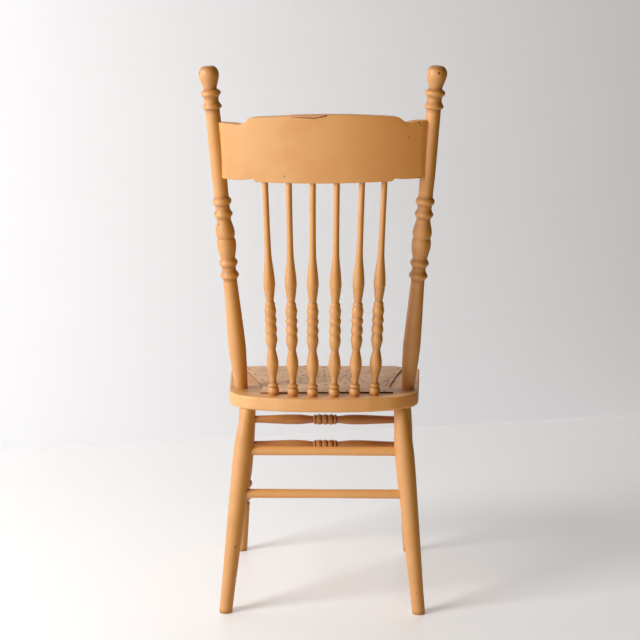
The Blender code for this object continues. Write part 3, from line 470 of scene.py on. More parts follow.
def build_posts(finishes):
    rings = with_tenons(profile(POST_SHARES, POST_LENGTH, POST_RADIUS))
    for side in (1, -1):
        label = SIDE_NAMES[side]
        post = turned("turned_post_" + label, post_point(side, SEAT_HEIGHT),
                      post_point(side, CREST_HEIGHT), rings, POST_SIDES)
        saw_flat(post, SEAT_HEIGHT + SHOULDER_GAP, True)
        finish_piece(post, finishes["post_" + label], "back_post_" + label)


def build_spindles(finishes):
    for index in range(SPINDLE_COUNT):
        place = index - (SPINDLE_COUNT - 1) / 2
        seat_x = -place * SPINDLE_SEAT_PITCH + SPINDLE_SEAT_DRIFTS[index]
        seat_y = REAR_EDGE_Y - SPINDLE_SETBACK - arc_depth(seat_x, SPINDLE_ROW_RADIUS)
        foot = Vector((seat_x, seat_y, SEAT_HEIGHT))
        crest_x = -place * SPINDLE_CREST_PITCH + SPINDLE_CREST_DRIFTS[index]
        head = crest_point(crest_x, -CREST_DROP)
        length = (head - foot).length
        rings = with_tenons(profile(SPINDLE_SHARES, length, SPINDLE_RADIUS), length)
        node = "spindle_%d" % (index + 1)
        spindle = turned("turned_" + node, foot, head, rings, SPINDLE_SIDES)
        saw_flat(spindle, SEAT_HEIGHT + SHOULDER_GAP, True)
        finish_piece(spindle, finishes["spindles"], node)


def build_legs(finishes):
    for row, shares in (("rear", REAR_LEG_SHARES), ("front", FRONT_LEG_SHARES)):
        for side in (1, -1):
            foot, top = leg_ends(row, side)
            length = (top - foot).length
            rings = with_tenons(profile(shares, length, LEG_RADIUS), length)
            node = row + "_leg_" + SIDE_NAMES[side]
            leg = turned("turned_" + node, foot, top, rings, POST_SIDES)
            saw_flat(leg, SEAT_UNDERSIDE - SHOULDER_GAP, False)
            saw_flat(leg, 0.0, True)
            finish_piece(leg, finishes["legs"], node)


def build_stretchers(finishes):
    plans = []
    for row, heights in (("rear", REAR_STRETCHER_HEIGHTS), ("front", FRONT_STRETCHER_HEIGHTS)):
        for level, height in heights.items():
            plans.append((row + "_stretcher_" + level, (row, -1), (row, 1), height))
    for side in (1, -1):
        for level, height in SIDE_STRETCHER_HEIGHTS.items():
            node = "side_stretcher_" + SIDE_NAMES[side] + "_" + level
            plans.append((node, ("front", side), ("rear", side), height))
    for node, first, last, height in plans:
        start, end = leg_point(*first, height), leg_point(*last, height)
        half = (end - start).length / 2
        if node.startswith("front"):
            rings = profile(TURNED_STRETCHER_SHARES, half, TURNED_STRETCHER_RADIUS)
        else:
            rings = profile(PLAIN_STRETCHER_SHARES, half, PLAIN_STRETCHER_RADIUS)
        right = [(half + along, out) for along, out in rings if along >= 0]
        left = [(half - along, out) for along, out in rings if along > SAME_RING]
        piece = turned("turned_" + node, start, end, left[::-1] + right, SPINDLE_SIDES)
        surface = finishes[node.split("_")[0] + "_stretchers"]
        finish_piece(piece, surface, node)


def height_at(table, x):
    """Reads a line of (distance, height) pairs at a distance, in millimetres."""
    for (x0, y0), (x1, y1) in zip(table, table[1:]):
        if x <= x1:
            return y0 + (y1 - y0) * (x - x0) / (x1 - x0)
    return table[-1][1]


def build_crest(finishes):
    """The bent rail, lofted through rounded sections from one post to the other."""
    lines = {}
    for edge, table in (("top", CREST_TOP_MM), ("bottom", CREST_BOTTOM_MM)):
        for side, column in ((1, 1), (-1, 2)):
            pairs = [(float(row[0]), row[column]) for row in table]
            lines[edge, side] = catmull(pairs, CREST_CURVE_STEPS)
    stations = [start + i * step for start, step, count in CREST_STATIONS_MM for i in range(count)]
    stations = [s for s in stations if s <= CREST_HALF_ARC / MM - CREST_TIP_GAP_MM]
    both = [-s for s in stations[:0:-1]] + stations
    slope = math.tan(POST_SPLAY) * math.cos(POST_LEAN)
    points = []
    for station in both:
        along = station * MM
        run = min(max(abs(along) - (CREST_HALF_ARC - CREST_END_SETBACK), 0.0), CREST_END_RUN)
        thin = max(CREST_THICKNESS / 2 - arc_depth(run, CREST_END_RADIUS), CREST_NECK / 2)
        side = 1 if station >= 0 else -1
        flat = (CREST_RADIUS * math.sin(abs(along) / CREST_RADIUS) - side * CREST_SLIP) / MM
        high = height_at(lines["top", side], flat) * MM
        low = height_at(lines["bottom", side], flat) * MM
        flare = max(abs(along) - CREST_HALF_ARC + CREST_FLARE_RUN, 0.0) / CREST_FLARE_RUN
        # Close to the posts the rail grows longer, above its middle and below it.
        for depth, rise in rounded_section(thin, low, high, CREST_ARRIS):
            points.append(bent_point(along, depth, rise, side * slope * abs(rise) * flare))
    mesh = bpy.data.meshes.new("bent_crest_rail")
    mesh.from_pydata(points, [], lofted(points, len(points) // len(both)))
    work = bmesh.new()
    work.from_mesh(mesh)
    settle(mesh, work, TURNED_CORNER)
    finish_piece(link("bent_crest_rail", mesh), finishes["crest"], "crest_rail")


def rounded_section(half, low, high, arris, steps=4, rows=6):
    """A rectangle with rounded corners as (depth, rise) points, half thick and low to high."""
    points = []
    corners = ((half, low, 270), (half, high, 0), (-half, high, 90), (-half, low, 180))
    for index, (depth, rise, start) in enumerate(corners):
        centre_depth = depth - math.copysign(arris, depth)
        centre_rise = rise + (arris if rise == low else -arris)
        for step in range(steps + 1):
            angle = math.radians(start + 90 * step / steps)
            points.append((centre_depth + arris * math.cos(angle), centre_rise + arris * math.sin(angle)))
        if index in (0, 2):
            first, last = (low + arris, high - arris) if index == 0 else (high - arris, low + arris)
            for row in range(1, rows):
                points.append((depth, first + (last - first) * row / rows))
    return points


def rounded_outline(corners, steps):
    """Fillets a closed polygon. Each corner is x, y and its radius; zero leaves it as a point."""
    outline = []
    count = len(corners)
    for index, (x, y, radius) in enumerate(corners):
        here = Vector((x, y))
        if radius == 0.0:
            outline.append(here)
            continue
        before = (Vector(corners[index - 1][:2]) - here).normalized()
        after = (Vector(corners[(index + 1) % count][:2]) - here).normalized()
        half = before.angle(after) / 2
        centre = here + (before + after).normalized() * (radius / math.sin(half))
        first = here + before * (radius / math.tan(half)) - centre
        last = here + after * (radius / math.tan(half)) - centre
        turn = first.angle_signed(last)
        for step in range(steps + 1):
            spun = first.copy()
            spun.rotate(Matrix.Rotation(-turn * step / steps, 2))
            outline.append(centre + spun)
    return outline


def seat_outline():
    def bowed(half, radius, corner_radius, y_of):
        """One edge from its left corner to its right corner, on a wide arc between them."""
        inner = half - corner_radius
        spots = [inner * (1 - 2 * step / EDGE_ARC_STEPS) for step in range(EDGE_ARC_STEPS + 1)]
        between = [(x, y_of(arc_depth(x, radius)), 0.0) for x in spots]
        y = y_of(arc_depth(half, radius))
        return [(half, y, corner_radius)] + between + [(-half, y, corner_radius)]

    rear = bowed(SEAT_REAR_WIDTH / 2, SEAT_REAR_EDGE_RADIUS, SEAT_REAR_CORNER_RADIUS,
                 lambda fall: REAR_EDGE_Y - fall)
    front = bowed(SEAT_FRONT_WIDTH / 2, SEAT_FRONT_EDGE_RADIUS, SEAT_FRONT_CORNER_RADIUS,
                  lambda fall: REAR_EDGE_Y - SEAT_DEPTH + fall)
    return rounded_outline(front[::-1] + rear, SEAT_CORNER_STEPS)


def opening_outline():
    rear = REAR_EDGE_Y - OPENING_SETBACK
    front = rear - OPENING_DEPTH
    corners = [(-OPENING_FRONT_WIDTH / 2, front), (OPENING_FRONT_WIDTH / 2, front),
               (OPENING_REAR_WIDTH / 2, rear), (-OPENING_REAR_WIDTH / 2, rear)]
    return rounded_outline([(x, y, OPENING_CORNER_RADIUS) for x, y in corners], OPENING_CORNER_STEPS)


def inset(outline, distance):
    """Moves a counter-clockwise outline inwards; a negative distance moves it outwards."""
    moved = []
    count = len(outline)
    for index, point in enumerate(outline):
        before, after = outline[index - 1], outline[(index + 1) % count]
        tangent = (after - before).normalized()
        moved.append(point + Vector((-tangent.y, tangent.x)) * distance)
    return moved


def build_seat(finishes):
    """The seat frame: worn round edges outside, a small arris round the opening."""
    work = bmesh.new()
    rims = []
    for outline, table, sign in ((seat_outline(), SEAT_EDGE_MM, 1),
                                 (opening_outline(), OPENING_EDGE_MM, -1)):
        loops = []
        for step_in, below in table:
            loops.append([work.verts.new((p.x, p.y, SEAT_HEIGHT - below * MM))
                          for p in inset(outline, sign * step_in * MM)])
        for upper, lower in zip(loops, loops[1:]):
            for index in range(len(upper)):
                after = (index + 1) % len(upper)
                work.faces.new((upper[index], lower[index], lower[after], upper[after]))
        rims.append((loops[0], loops[-1]))
    for outer, inner in ((rims[0][0], rims[1][1]), (rims[0][1], rims[1][0])):
        edges = []
        for loop in (outer, inner):
            for index in range(len(loop)):
                pair = (loop[index - 1], loop[index])
                edges.append(work.edges.get(pair) or work.edges.new(pair))
        bmesh.ops.triangle_fill(work, use_beauty=True, use_dissolve=False, edges=edges)
    mesh = bpy.data.meshes.new("seat_frame_painted")
    settle(mesh, work, SEAT_CORNER)
    seat = link("seat_frame_painted", mesh)
    seat.modifiers.new("even_normals", "WEIGHTED_NORMAL").keep_sharp = True
    finish_piece(seat, finishes["seat"], "seat_frame")


PATTERN_MIDDLE = Vector((0.0, REAR_EDGE_Y - PATTERN_SETBACK))


def on_panel(point):
    """A point of the panel, turned with it about the middle of its pattern."""
    arm = Vector(point) - PATTERN_MIDDLE
    arm.rotate(Matrix.Rotation(PANEL_TURN, 2))
    return PATTERN_MIDDLE + arm


def panel_outline():
    edges = {}
    for side in (1, -1):
        corners = [(side * out * PANEL_WIDTH / 2, REAR_EDGE_Y - PANEL_SETBACK - along * PANEL_DEPTH)
                   for out, along in PANEL_SIDE_SHARES]
        edges[side] = catmull(corners, PANEL_SIDE_STEPS)
    return [on_panel(point) for point in edges[1][::-1] + edges[-1]]


def ring_loop(centre, turn, long_radius, short_radius, sides):
    loop = []
    for step in range(sides):
        angle = math.tau * step / sides
        spot = Vector((long_radius * math.cos(angle), short_radius * math.sin(angle)))
        spot.rotate(Matrix.Rotation(turn, 2))
        loop.append(centre + spot)
    return loop


def pattern_holes():
    """A star of tangential slots on its arms, with round dots between and beside them."""
    slot = (SLOT_LENGTH / 2, SLOT_WIDTH / 2, SLOT_SIDES)
    dot = (DOT_DIAMETER / 2, DOT_DIAMETER / 2, DOT_SIDES)
    half_step = math.pi / PATTERN_ARMS
    holes = [(0.0, 0.0, 0.0, dot)]
    for arm in range(PATTERN_ARMS):
        angle = 2 * arm * half_step
        holes += [(share, angle, angle, slot) for share in SLOT_RING_SHARES]
        holes += [(share, angle + half_step, 0.0, dot) for share in DOT_RING_SHARES]
        for side in (1, -1):
            aside = angle + side * half_step * SIDE_DOT_TURN_SHARE
            holes += [(share, aside, 0.0, dot) for share in SIDE_DOT_RING_SHARES]
    loops = []
    for share, angle, turn, shape in holes:
        arm = PATTERN_RADIUS * share * Vector((math.sin(angle), math.cos(angle)))
        loops.append(ring_loop(on_panel(PATTERN_MIDDLE + arm), turn, *shape))
    return loops


def build_panel(finishes):
    """The thin pressed panel with its punched star, edges softened by paint."""
    curve = bpy.data.curves.new("panel_outline", "CURVE")
    curve.dimensions = "2D"
    curve.fill_mode = "BOTH"
    curve.extrude = PANEL_THICKNESS / 2 - PANEL_SOFTENING
    curve.bevel_depth = PANEL_SOFTENING
    curve.offset = -PANEL_SOFTENING
    curve.bevel_resolution = PANEL_BEVEL_STEPS
    for loop in [panel_outline()] + pattern_holes():
        spline = curve.splines.new("POLY")
        spline.points.add(len(loop) - 1)
        for point, spot in zip(spline.points, loop):
            point.co = (spot.x, spot.y, 0.0, 1.0)
        spline.use_cyclic_u = True
    drawn = link("panel_outline", curve)
    mesh = bpy.data.meshes.new_from_object(drawn.evaluated_get(bpy.context.evaluated_depsgraph_get()))
    bpy.data.objects.remove(drawn, do_unlink=True)
    work = bmesh.new()
    work.from_mesh(mesh)
    bmesh.ops.remove_doubles(work, verts=work.verts, dist=PANEL_WELD)
    bmesh.ops.translate(work, verts=work.verts,
                        vec=(0.0, 0.0, SEAT_HEIGHT + PANEL_LIFT + PANEL_THICKNESS / 2))
    mesh.materials.clear()
    settle(mesh, work, PANEL_CORNER)
    finish_piece(link("punched_seat_panel", mesh), finishes["panel"], "seat_panel")


def fasteners(kind):
    """Node and middle of each fastener of a kind, from the frame."""
    for node in sorted(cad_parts):
        if node.startswith(kind):
            low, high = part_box(node)
            yield node, (low + high) / 2


def build_tacks(finishes):
    """Low domed heads on the panel, each with a short shank in it."""
    upward = Vector((0.0, 0.0, 1.0))
    rings = [(TACK_SHANK_LENGTH + TACK_HEAD_RISE * up, TACK_HEAD_RADIUS * out)
             for out, up in catmull(TACK_DOME_SHARES, 3)]
    rings += [(TACK_SHANK_LENGTH, TACK_SHANK_RADIUS), (0.0, TACK_SHANK_RADIUS)]
    for node, middle in fasteners("panel_tack"):
        foot = Vector((middle.x, middle.y, SEAT_HEIGHT + PANEL_LIFT + PANEL_THICKNESS - TACK_SHANK_LENGTH))
        tack = turned("domed_" + node, foot, foot + upward, rings, TACK_SIDES)
        finish_piece(tack, finishes["tacks"], node)


def build_pins(finishes):
    """Brads that hold the crest's tenons, their heads just proud, the left ones painted over."""
    rearward = CREST_FRAME.to_3x3() @ Vector((0.0, 1.0, 0.0))
    rings = [(along * MM, out * MM) for along, out in PIN_RINGS_MM]
    for node, middle in fasteners("crest_pin"):
        foot = middle - rearward * PIN_POINT_DEPTH
        pin = turned("brad_" + node, foot, foot + rearward, rings, PIN_SIDES)
        shown = finishes["pins"] if "right" in node else finishes["pins_overpainted"]
        finish_piece(pin, shown, node)


# Surfaces

SOFT = {"interpolation_type": "SMOOTHSTEP"}


def linear(code):
    """An sRGB hex colour as linear red, green, blue and alpha."""
    channels = [int(code[i:i + 2], 16) / 255 for i in (1, 3, 5)]
    return [c / 12.92 if c <= 0.04045 else ((c + 0.055) / 1.055) ** 2.4 for c in channels] + [1.0]


def per_metre(size):
    """How many features of a size in millimetres a metre holds, as a texture's scale."""
    return 1000.0 / size


def sized(coords, size, detail, roughness=0.5):
    """Inputs of a noise whose features have a size in millimetres."""
    return {"Vector": coords, "Scale": per_metre(size), "Detail": detail, "Roughness": roughness}


def fill(socket, value):
    """Links a value to a socket, or sets it there."""
    if isinstance(value, bpy.types.NodeSocket):
        socket.id_data.links.new(value, socket)
    else:
        socket.default_value = value


def add_node(tree, kind, inputs=(), output=0, **settings):
    """Adds a shader node, sets its properties, fills or links its inputs, gives an output."""
    made = tree.nodes.new("ShaderNode" + kind)
    for key, value in settings.items():
        setattr(made, key, value)
    for key, value in dict(inputs if isinstance(inputs, dict) else enumerate(inputs)).items():
        fill(made.inputs[key], value)
    return made.outputs[output]


def new_surface(name, roughness, metallic=0.0):
    """A material, add_node for its tree, its shader's inputs and the chair's own coordinates."""
    material = bpy.data.materials.new(name)
    material.use_nodes = True
    shader = material.node_tree.nodes["Principled BSDF"].inputs
    fill(shader["Roughness"], roughness)
    fill(shader["Metallic"], metallic)
    node = partial(add_node, material.node_tree)
    return material, node, shader, node("TexCoord", output="Object")


def coat(node, under, code, mask, share=1.0):
    """Lays a colour over another where the mask is 1, at a share of its full strength."""
    strength = node("Math", (mask, share), operation="MULTIPLY")
    return node("Mix", {0: strength, 6: under, 7: linear(code)}, output=2, data_type="RGBA")


def show(node, shader, colour, height, strength, depth):
    """Gives a surface its colour and its relief, depth in millimetres."""
    fill(shader["Base Color"], colour)
    relief = {"Height": height, "Strength": strength, "Distance": depth * MM}
    fill(shader["Normal"], node("Bump", relief))


def unsteady(node, coords):
    """The coordinates moved by up to 0.8 mm, so that the edge of a mark is ragged."""
    reach = 0.8 * MM
    wobble = node("TexNoise", sized(coords, 2.381, 2.0), output="Color")
    shift = node("VectorMath", (wobble, [2 * reach] * 3, [-reach] * 3), operation="MULTIPLY_ADD")
    return node("VectorMath", (coords, shift), operation="ADD")


def within(node, mask, distance, outer, inner):
    """Adds to a mask what lies nearer than inner, fading out at outer, both in millimetres."""
    inside = node("MapRange", (distance, outer * MM, inner * MM), **SOFT)
    return node("Math", (mask, inside), operation="MAXIMUM")


def strokes_mask(node, coords, strokes):
    """1 along any of the strokes (start and end in metres, half width in millimetres)."""
    moved, mask = unsteady(node, coords), 0.0
    for start, end, half_width in strokes:
        run = end - start
        offset = node("VectorMath", (moved, start), operation="SUBTRACT")
        along = node("VectorMath", (offset, run / run.length_squared), output="Value",
                     operation="DOT_PRODUCT")
        share = node("Math", (along, 1.0), operation="MULTIPLY", use_clamp=True)
        nearest = node("VectorMath", {0: run, "Scale": share}, operation="SCALE")
        far = node("VectorMath", (offset, nearest), output="Value", operation="DISTANCE")
        mask = within(node, mask, far, half_width * 1.2, half_width * 0.6)
    return mask


def spots_mask(node, coords, spots, soft=0.75):
    """1 inside any of the spots (x, y, z in metres and radius in millimetres)."""
    moved, mask = unsteady(node, coords), 0.0
    for *place, radius in spots:
        far = node("VectorMath", (moved, place), output="Value", operation="DISTANCE")
        mask = within(node, mask, far, radius * 1.15, radius * soft)
    return mask


# The floor and wall glow: painted light that stands in for light bounced round the room.
ROOM_GLOW = 0.19
SHADE_SPOT_SOFTNESS = 0.30
PAINT = "#D49A5E"
PAINT_DEEP = "#CC9152"
# The deeper paint of faces turned from the key lamp: painted shade.
PAINT_SHADED = "#CC8A2E"
PAINT_WORN = "#B26C34"
# Grooves and creases darken with dirt and painted shade.
GROOVE = "#96561F"
CREASE = "#7C4014"
BARE_WOOD = "#4E2812"
FADED_UNDERCOAT = "#CC8C64"
CRACK_BROWN = "#6A3214"
# Brown painted shade on the seat and the panel beside the posts' feet.
PAINTED_SEAT_SHADE = "#96602C"
FEET_DARKENING = "#8E5A2C"


def painted_hardwood(name, grain, spots=(), strokes=1.0, paint=PAINT, deep=PAINT_DEEP,
                     shaded=PAINT_SHADED, cracks=(), faded=(), painted_shade_spots=()):
    """Brushed caramel enamel on turned beech: an even satin film, thin on proud arrises, dark with
    dirt and painted shade in the grooves and creases, with faint brush lines that follow the
    piece's length. Faces turned from the key lamp at +X get painted shade, a deeper copy of the
    paint. grain is 0, 1 or 2 for a piece that runs along X, Y or Z."""
    material, node, shader, coords = new_surface("enamel_on_" + name, 0.50)
    fill(shader["Specular IOR Level"], 0.7)
    # Brush lines are 1.25 mm apart and waver every 22 mm.
    pitches = [per_metre(1.25)] * 3
    pitches[grain] = per_metre(22.222)
    combed = node("Mapping", {"Vector": coords, "Scale": pitches})
    lines = node("TexNoise", {"Vector": combed, "Scale": 1.0, "Detail": 3.0, "Roughness": 0.6})
    # Paint thickness drifts over about 60 mm.
    drift = node("TexNoise", sized(coords, 62.5, 3.0, 0.5))
    thick = node("MapRange", (drift, 0.35, 0.70), **SOFT)
    colour = coat(node, linear(paint), deep, thick)
    # Painted shade: faces turned from the key lamp at +X take the deeper shaded paint.
    normal = node("NewGeometry", output="Normal")
    sideways = node("SeparateXYZ", {"Vector": normal}, output="X")
    away = node("MapRange", (sideways, 0.30, -0.65), **SOFT)
    colour = coat(node, colour, shaded, away)
    stroke = node("Math", (lines, 0.5), operation="SUBTRACT")
    stroke = node("Math", (stroke,), operation="ABSOLUTE")
    colour = coat(node, colour, PAINT_WORN, stroke, 0.16 * strokes)
    # Dirt and painted shade in the grooves and in the creases between rings.
    for label, code, share in (("recess", GROOVE, 0.45), ("crease", CREASE, 0.7)):
        mark = node("Attribute", attribute_name=label, output="Fac")
        colour = coat(node, colour, code, mark, share)
    # Darker towards the bottom, in the lowest 10 mm.
    height = node("SeparateXYZ", {"Vector": coords}, output="Z")
    low = node("MapRange", (height, 10 * MM, 2 * MM), **SOFT)
    colour = coat(node, colour, FEET_DARKENING, low, drift)
    # Proud edges rubbed through to the wood in patches of about 8 mm.
    patches = node("TexNoise", sized(coords, 7.6923, 4.0, 0.65))
    patches = node("MapRange", (patches, 0.60, 0.70), **SOFT)
    ridge = node("Attribute", attribute_name="ridge", output="Fac")
    rubbed = node("Math", (ridge, patches), operation="MULTIPLY")
    rubbed = node("Math", (rubbed, 0.7), operation="MULTIPLY")
    # Small knocks, up to two millimetres across, in every fifth cell of 38 mm.
    cells = {"Vector": coords, "Scale": per_metre(38.4615)}
    near = node("TexVoronoi", cells, output="Distance")
    near = node("MapRange", (near, 0.034, 0.018), **SOFT)
    chosen = node("TexVoronoi", cells, output="Color")
    chosen = node("SeparateColor", {"Color": chosen})
    chosen = node("MapRange", (chosen, 0.80, 0.82), **SOFT)
    knocks = node("Math", (near, chosen), operation="MULTIPLY")
    wear = node("Math", (rubbed, knocks), operation="MAXIMUM")
    if spots:
        wear = node("Math", (wear, spots_mask(node, coords, spots)), operation="MAXIMUM")
    # Painted shade: brown darkening on the seat's top beside the posts' feet.
    if painted_shade_spots:
        spot_shade = spots_mask(node, coords, painted_shade_spots, SHADE_SPOT_SOFTNESS)
        colour = coat(node, colour, PAINTED_SEAT_SHADE, spot_shade, 0.5)
    if faded:
        colour = coat(node, colour, FADED_UNDERCOAT, strokes_mask(node, coords, faded), 0.7)
    if cracks:
        colour = coat(node, colour, CRACK_BROWN, strokes_mask(node, coords, cracks))
    colour = coat(node, colour, BARE_WOOD, wear)
    gloss = node("Math", (drift, 0.16, 0.42), operation="MULTIPLY_ADD")
    gloss = node("Math", (wear, 0.30, gloss), operation="MULTIPLY_ADD")
    fill(shader["Roughness"], gloss)
    fine = node("TexNoise", sized(coords, 1.1111, 2.0, 0.5))
    fine = node("Math", (fine, 0.15), operation="MULTIPLY")
    relief = node("Math", (lines, 0.6, fine), operation="MULTIPLY_ADD")
    relief = node("Math", (wear, -0.8, relief), operation="MULTIPLY_ADD")
    show(node, shader, colour, relief, 0.35, 0.25)
    return material


def painted_fibre(name, dark_from_x):
    """The same enamel on pressed fibre board: flatter, drier and paler, partly with painted light and
    sheen, with raw brown edges, and painted shadow, almost black, where the panel stands off the frame."""
    material, node, shader, coords = new_surface(name, 0.55)
    drift = node("TexNoise", sized(coords, 45.4545, 4.0, 0.55))
    thick = node("MapRange", (drift, 0.35, 0.70), **SOFT)
    # Paler than the frame's enamel: partly painted light and grazing sheen.
    colour = coat(node, linear("#E6B98C"), "#D8A878", thick)
    # Fibre clumps of about 1.4 mm show through the paint.
    clumps = node("TexNoise", sized(coords, 1.42857, 3.0, 0.6))
    colour = coat(node, colour, "#9A6A42", clumps, 0.22)
    normal = node("NewGeometry", output="Normal")
    upward = node("SeparateXYZ", {"Vector": normal}, output="Z")
    upright = node("MapRange", (upward, 0.55, 0.25), **SOFT)
    across = node("SeparateXYZ", {"Vector": coords}, output="X")
    # Painted shadow: the edge towards -X, where the panel stands off the frame, goes almost black.
    gap_shadow = node("MapRange", (across, dark_from_x + 10 * MM, dark_from_x - 10 * MM), **SOFT)
    colour = coat(node, colour, "#6E4220", upright, 0.7)
    colour = coat(node, colour, "#2A160C", upright, gap_shadow)
    # Painted shade: brown darkening on the panel near the posts.
    panel_shade_spots = spots_mask(node, coords, PANEL_PAINTED_SHADE_PLACES, SHADE_SPOT_SOFTNESS)
    colour = coat(node, colour, PAINTED_SEAT_SHADE, panel_shade_spots, 0.4)
    colour = coat(node, colour, "#4A2A18", spots_mask(node, coords, SEAT_TACK_STAINS))
    gloss = node("Math", (clumps, 0.2, 0.42), operation="MULTIPLY_ADD")
    fill(shader["Roughness"], gloss)
    show(node, shader, colour, clumps, 0.4, 0.2)
    return material


def painted_tack_steel(name):
    """Steel tack heads under the chair's paint, worn to dull metal on their crowns."""
    material, node, shader, coords = new_surface(name, 0.45)
    patches = node("TexNoise", sized(coords, 2.85714, 3.0, 0.6))
    worn = node("MapRange", (patches, 0.50, 0.62), **SOFT)
    bare = node("Math", (worn, 0.3), operation="MULTIPLY")
    fill(shader["Metallic"], bare)
    show(node, shader, coat(node, linear("#C08A50"), "#A07448", worn), patches, 0.4, 0.15)
    return material


def rusted_brad_steel(name):
    """Mild steel brad heads, brown with old rust and paint."""
    material, node, shader, coords = new_surface(name, 0.6, 0.3)
    rust = node("TexNoise", sized(coords, 0.66667, 3.0, 0.6))
    show(node, shader, coat(node, linear("#4A2A16"), "#6B4426", rust), rust, 0.5, 0.1)
    return material


def plaster(name, code, shade, roughness, patch, strength):
    """Pale painted floor or wall, almost even, with a faint mottle and a painted glow that lights the
    room.
    """
    material, node, shader, coords = new_surface(name, roughness)
    fill(shader["Emission Color"], linear("#FFFFFF"))
    fill(shader["Emission Strength"], ROOM_GLOW)
    mottle = node("TexNoise", sized(coords, patch, 4.0, 0.6))
    show(node, shader, coat(node, linear(code), shade, mottle), mottle, strength, 0.4)
    return material


# Stage, light and camera

FLOOR_REACH = 9.0
FLOOR_LEFT = -1.6
WALL_LEFT = -1.8
WALL_FOOT = -0.5
WALL_TOP = 7.0
WALL_DISTANCE = 1.74
WALL_TURN = math.radians(16.0)
CAMERA_PLACE = Vector((-0.028, REAR_EDGE_Y + 2.2605, 0.8713))
CAMERA_DOWN = 0.1176
CAMERA_YAW = 0.0153
CAMERA_ROLL = 0.0012
CAMERA_LENS_MM = 64.69
CAMERA_SENSOR_MM = 36.0


def room_sheet(name, corners, material, placed):
    """A flat sheet of the room, which isn't part of the chair."""
    mesh = bpy.data.meshes.new(name)
    mesh.from_pydata(corners, [], [(0, 1, 2, 3)])
    mesh.transform(placed)
    mesh.materials.append(material)
    link(name, mesh)


def build_stage():
    """A pale floor and, past the chair, a pale wall that stands a little askew."""
    far = FLOOR_REACH
    room_sheet("studio_floor", [(FLOOR_LEFT, -far, 0), (far, -far, 0), (far, far, 0),
                                (FLOOR_LEFT, far, 0)],
               plaster("pale_painted_floor", "#F0F0F0", "#EAEAEA", 0.38, 333.333, 0.05), Matrix())
    room_sheet("studio_wall", [(WALL_LEFT, 0, WALL_FOOT), (far, 0, WALL_FOOT),
                               (far, 0, WALL_TOP), (WALL_LEFT, 0, WALL_TOP)],
               plaster("pale_painted_wall", "#E9EAED", "#E4E5E8", 0.8, 250.0, 0.1),
               Matrix.Translation((0.0, REAR_EDGE_Y - WALL_DISTANCE, 0.0))
               @ Matrix.Rotation(WALL_TURN, 4, "Z"))


def area_light(name, place, target, width, height, watts, code="#FFFFFF"):
    light = bpy.data.lights.new(name, "AREA")
    light.shape = "RECTANGLE"
    light.size, light.size_y = width, height
    light.energy = watts
    light.color = linear(code)[:3]
    lamp = link(name, light)
    lamp.location = place
    lamp.rotation_euler = (Vector(target) - Vector(place)).to_track_quat("-Z", "Y").to_euler()


def light_studio():
    area_light("window_key", place=(2.84, 1.72, 1.99), target=(0.0, 0.05, 0.6), width=1.5,
               height=2.0, watts=130.0)
    area_light("front_fill", place=(0.5, 3.4, 1.7), target=(0.0, 0.0, 0.5), width=2.4,
               height=1.6, watts=19.0, code="#FFEFDC")
    world = bpy.data.worlds.new("studio_air")
    bpy.context.scene.world = world
    world.use_nodes = True
    air = world.node_tree.nodes["Background"].inputs
    air["Color"].default_value = linear("#FFE0BC")
    air["Strength"].default_value = 0.06
    bpy.context.scene.view_settings.view_transform = "Standard"


def place_camera():
    """The photographer's view: from behind, 2.3 m away, at a height of 0.87 m."""
    camera = bpy.data.cameras.new("photo_view")
    camera.lens = CAMERA_LENS_MM
    camera.sensor_width = CAMERA_SENSOR_MM
    holder = link("photo_view", camera)
    sight = Vector((math.sin(CAMERA_YAW) * math.cos(CAMERA_DOWN),
                    -math.cos(CAMERA_YAW) * math.cos(CAMERA_DOWN), -math.sin(CAMERA_DOWN)))
    holder.matrix_world = (Matrix.Translation(CAMERA_PLACE)
                           @ sight.to_track_quat("-Z", "Y").to_matrix().to_4x4()
                           @ Matrix.Rotation(CAMERA_ROLL, 4, "Z"))
    bpy.context.scene.camera = holder


# Knocks and worn places that the photograph shows: x, y, z in metres and radius in millimetres.
LEFT_POST_KNOCKS = ((0.238, 0.207, 1.083, 2.0), (0.217, 0.148, 0.813, 1.7),
                    (0.210, 0.147, 0.791, 1.7), (0.195, 0.159, 0.846, 0.9))
RIGHT_POST_KNOCKS = ((-0.220, 0.2165, 1.081, 2.2), (-0.202, 0.2095, 1.082, 1.2))
LEG_KNOCKS = ((0.178, 0.179, 0.137, 1.8), (-0.193, 0.185, 0.096, 1.0), (-0.190, 0.188, 0.045, 1.2),
              (0.197, 0.184, 0.012, 1.0))
SEAT_KNOCKS = ((-0.197, -0.009, 0.445, 4.5), (-0.2005, -0.030, 0.442, 2.2))
# Painted shade, a brown darkening, on the seat's top and the panel beside the posts' feet, in the same
# terms.
PAINTED_SEAT_SHADE_PLACES = ((0.150, 0.085, 0.446, 36.0), (0.175, 0.060, 0.446, 34.0),
                     (-0.165, 0.080, 0.446, 34.0))
PANEL_PAINTED_SHADE_PLACES = ((-0.150, 0.020, 0.448, 42.0), (-0.160, -0.060, 0.448, 42.0),
                      (0.135, 0.020, 0.448, 30.0))
SEAT_TACK_STAINS = ((-0.1315, -0.0160, 0.448, 3.6), (-0.1375, -0.0165, 0.448, 4.0))
# The same on the crest's rear face: x and rise in millimetres, radius in millimetres.
CREST_KNOCKS = ((73, -32.5, 1.4), (-166, 37.0, 1.2), (-188, 64.0, 1.8), (-191, 58.0, 1.6),
                (-203, 50.0, 1.2), (-186, -43.0, 1.3), (-192, -43.2, 1.2), (-207, -24.0, 0.9))
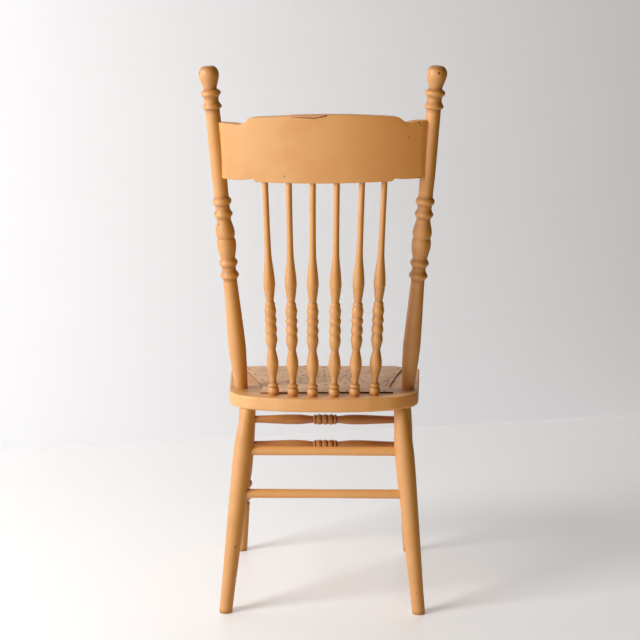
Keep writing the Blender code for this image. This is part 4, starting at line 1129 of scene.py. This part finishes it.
# A crack in the paint under the top edge: x and rise, then the half width, in millimetres.
CREST_CRACK = ((58, 81.2, 0.5), (40, 80.8, 0.8), (26, 80.0, 1.0), (14, 79.4, 1.3), (2, 81.4, 1.0),
               (-5, 83.4, 1.5), (-8, 83.8, 1.6))
CREST_FADED = ((44, 83.6, 1.4), (10, 83.0, 2.0), (-10, 86.0, 1.6))


def on_crest(marks):
    """Marks of the crest's rear face as spots in the chair's coordinates."""
    return [(*bent_point(x * MM, CREST_THICKNESS / 2, rise * MM), radius) for x, rise, radius in marks]


def along_crest(marks):
    """Marks of the crest's rear face as strokes from each to the next."""
    spots = [(Vector(spot[:3]), spot[3]) for spot in on_crest(marks)]
    return [(start, end, (half + next_half) / 2)
            for (start, half), (end, next_half) in zip(spots, spots[1:])]


def make_finishes():
    return {
        "post_left": painted_hardwood("turned_post_left", 2, LEFT_POST_KNOCKS),
        "post_right": painted_hardwood("turned_post_right", 2, RIGHT_POST_KNOCKS),
        "spindles": painted_hardwood("turned_spindles", 2),
        "legs": painted_hardwood("turned_legs", 2, LEG_KNOCKS),
        # Lighter paint than the posts: painted light on the rear stretchers.
        "rear_stretchers": painted_hardwood(
            "rear_stretchers", 0, paint="#E2A664", deep="#DA9A55", shaded="#DA9A50"),
        # Darker paint all over: painted shade from the seat above the front stretchers.
        "front_stretchers": painted_hardwood(
            "front_stretchers", 0, paint="#C6843F", deep="#B97432", shaded="#8A4612"),
        "side_stretchers": painted_hardwood("side_stretchers", 1),
        # Lighter paint than the posts: painted light on the crest and the seat.
        "crest": painted_hardwood(
            "bent_rail", 0, on_crest(CREST_KNOCKS), strokes=0.8, paint="#D9A264", deep="#D3985A",
            shaded="#EA9C42", cracks=along_crest(CREST_CRACK), faded=along_crest(CREST_FADED)),
        "seat": painted_hardwood(
            "seat_frame", 0, SEAT_KNOCKS, strokes=0.8, paint="#DDA76A", deep="#D69D5F",
            shaded="#E29A44", painted_shade_spots=PAINTED_SEAT_SHADE_PLACES),
        "panel": painted_fibre("enamel_on_pressed_fibre", dark_from_x=0.055),
        "tacks": painted_tack_steel("painted_steel_tacks"),
        "pins": rusted_brad_steel("rusted_steel_brads"),
        "pins_overpainted": painted_hardwood("brad_heads", 2),
    }


def main():
    finishes = make_finishes()
    for build in (build_posts, build_spindles, build_legs, build_stretchers, build_crest, build_seat,
                  build_panel, build_tacks, build_pins):
        build(finishes)
    build_stage()
    light_studio()
    place_camera()


main()
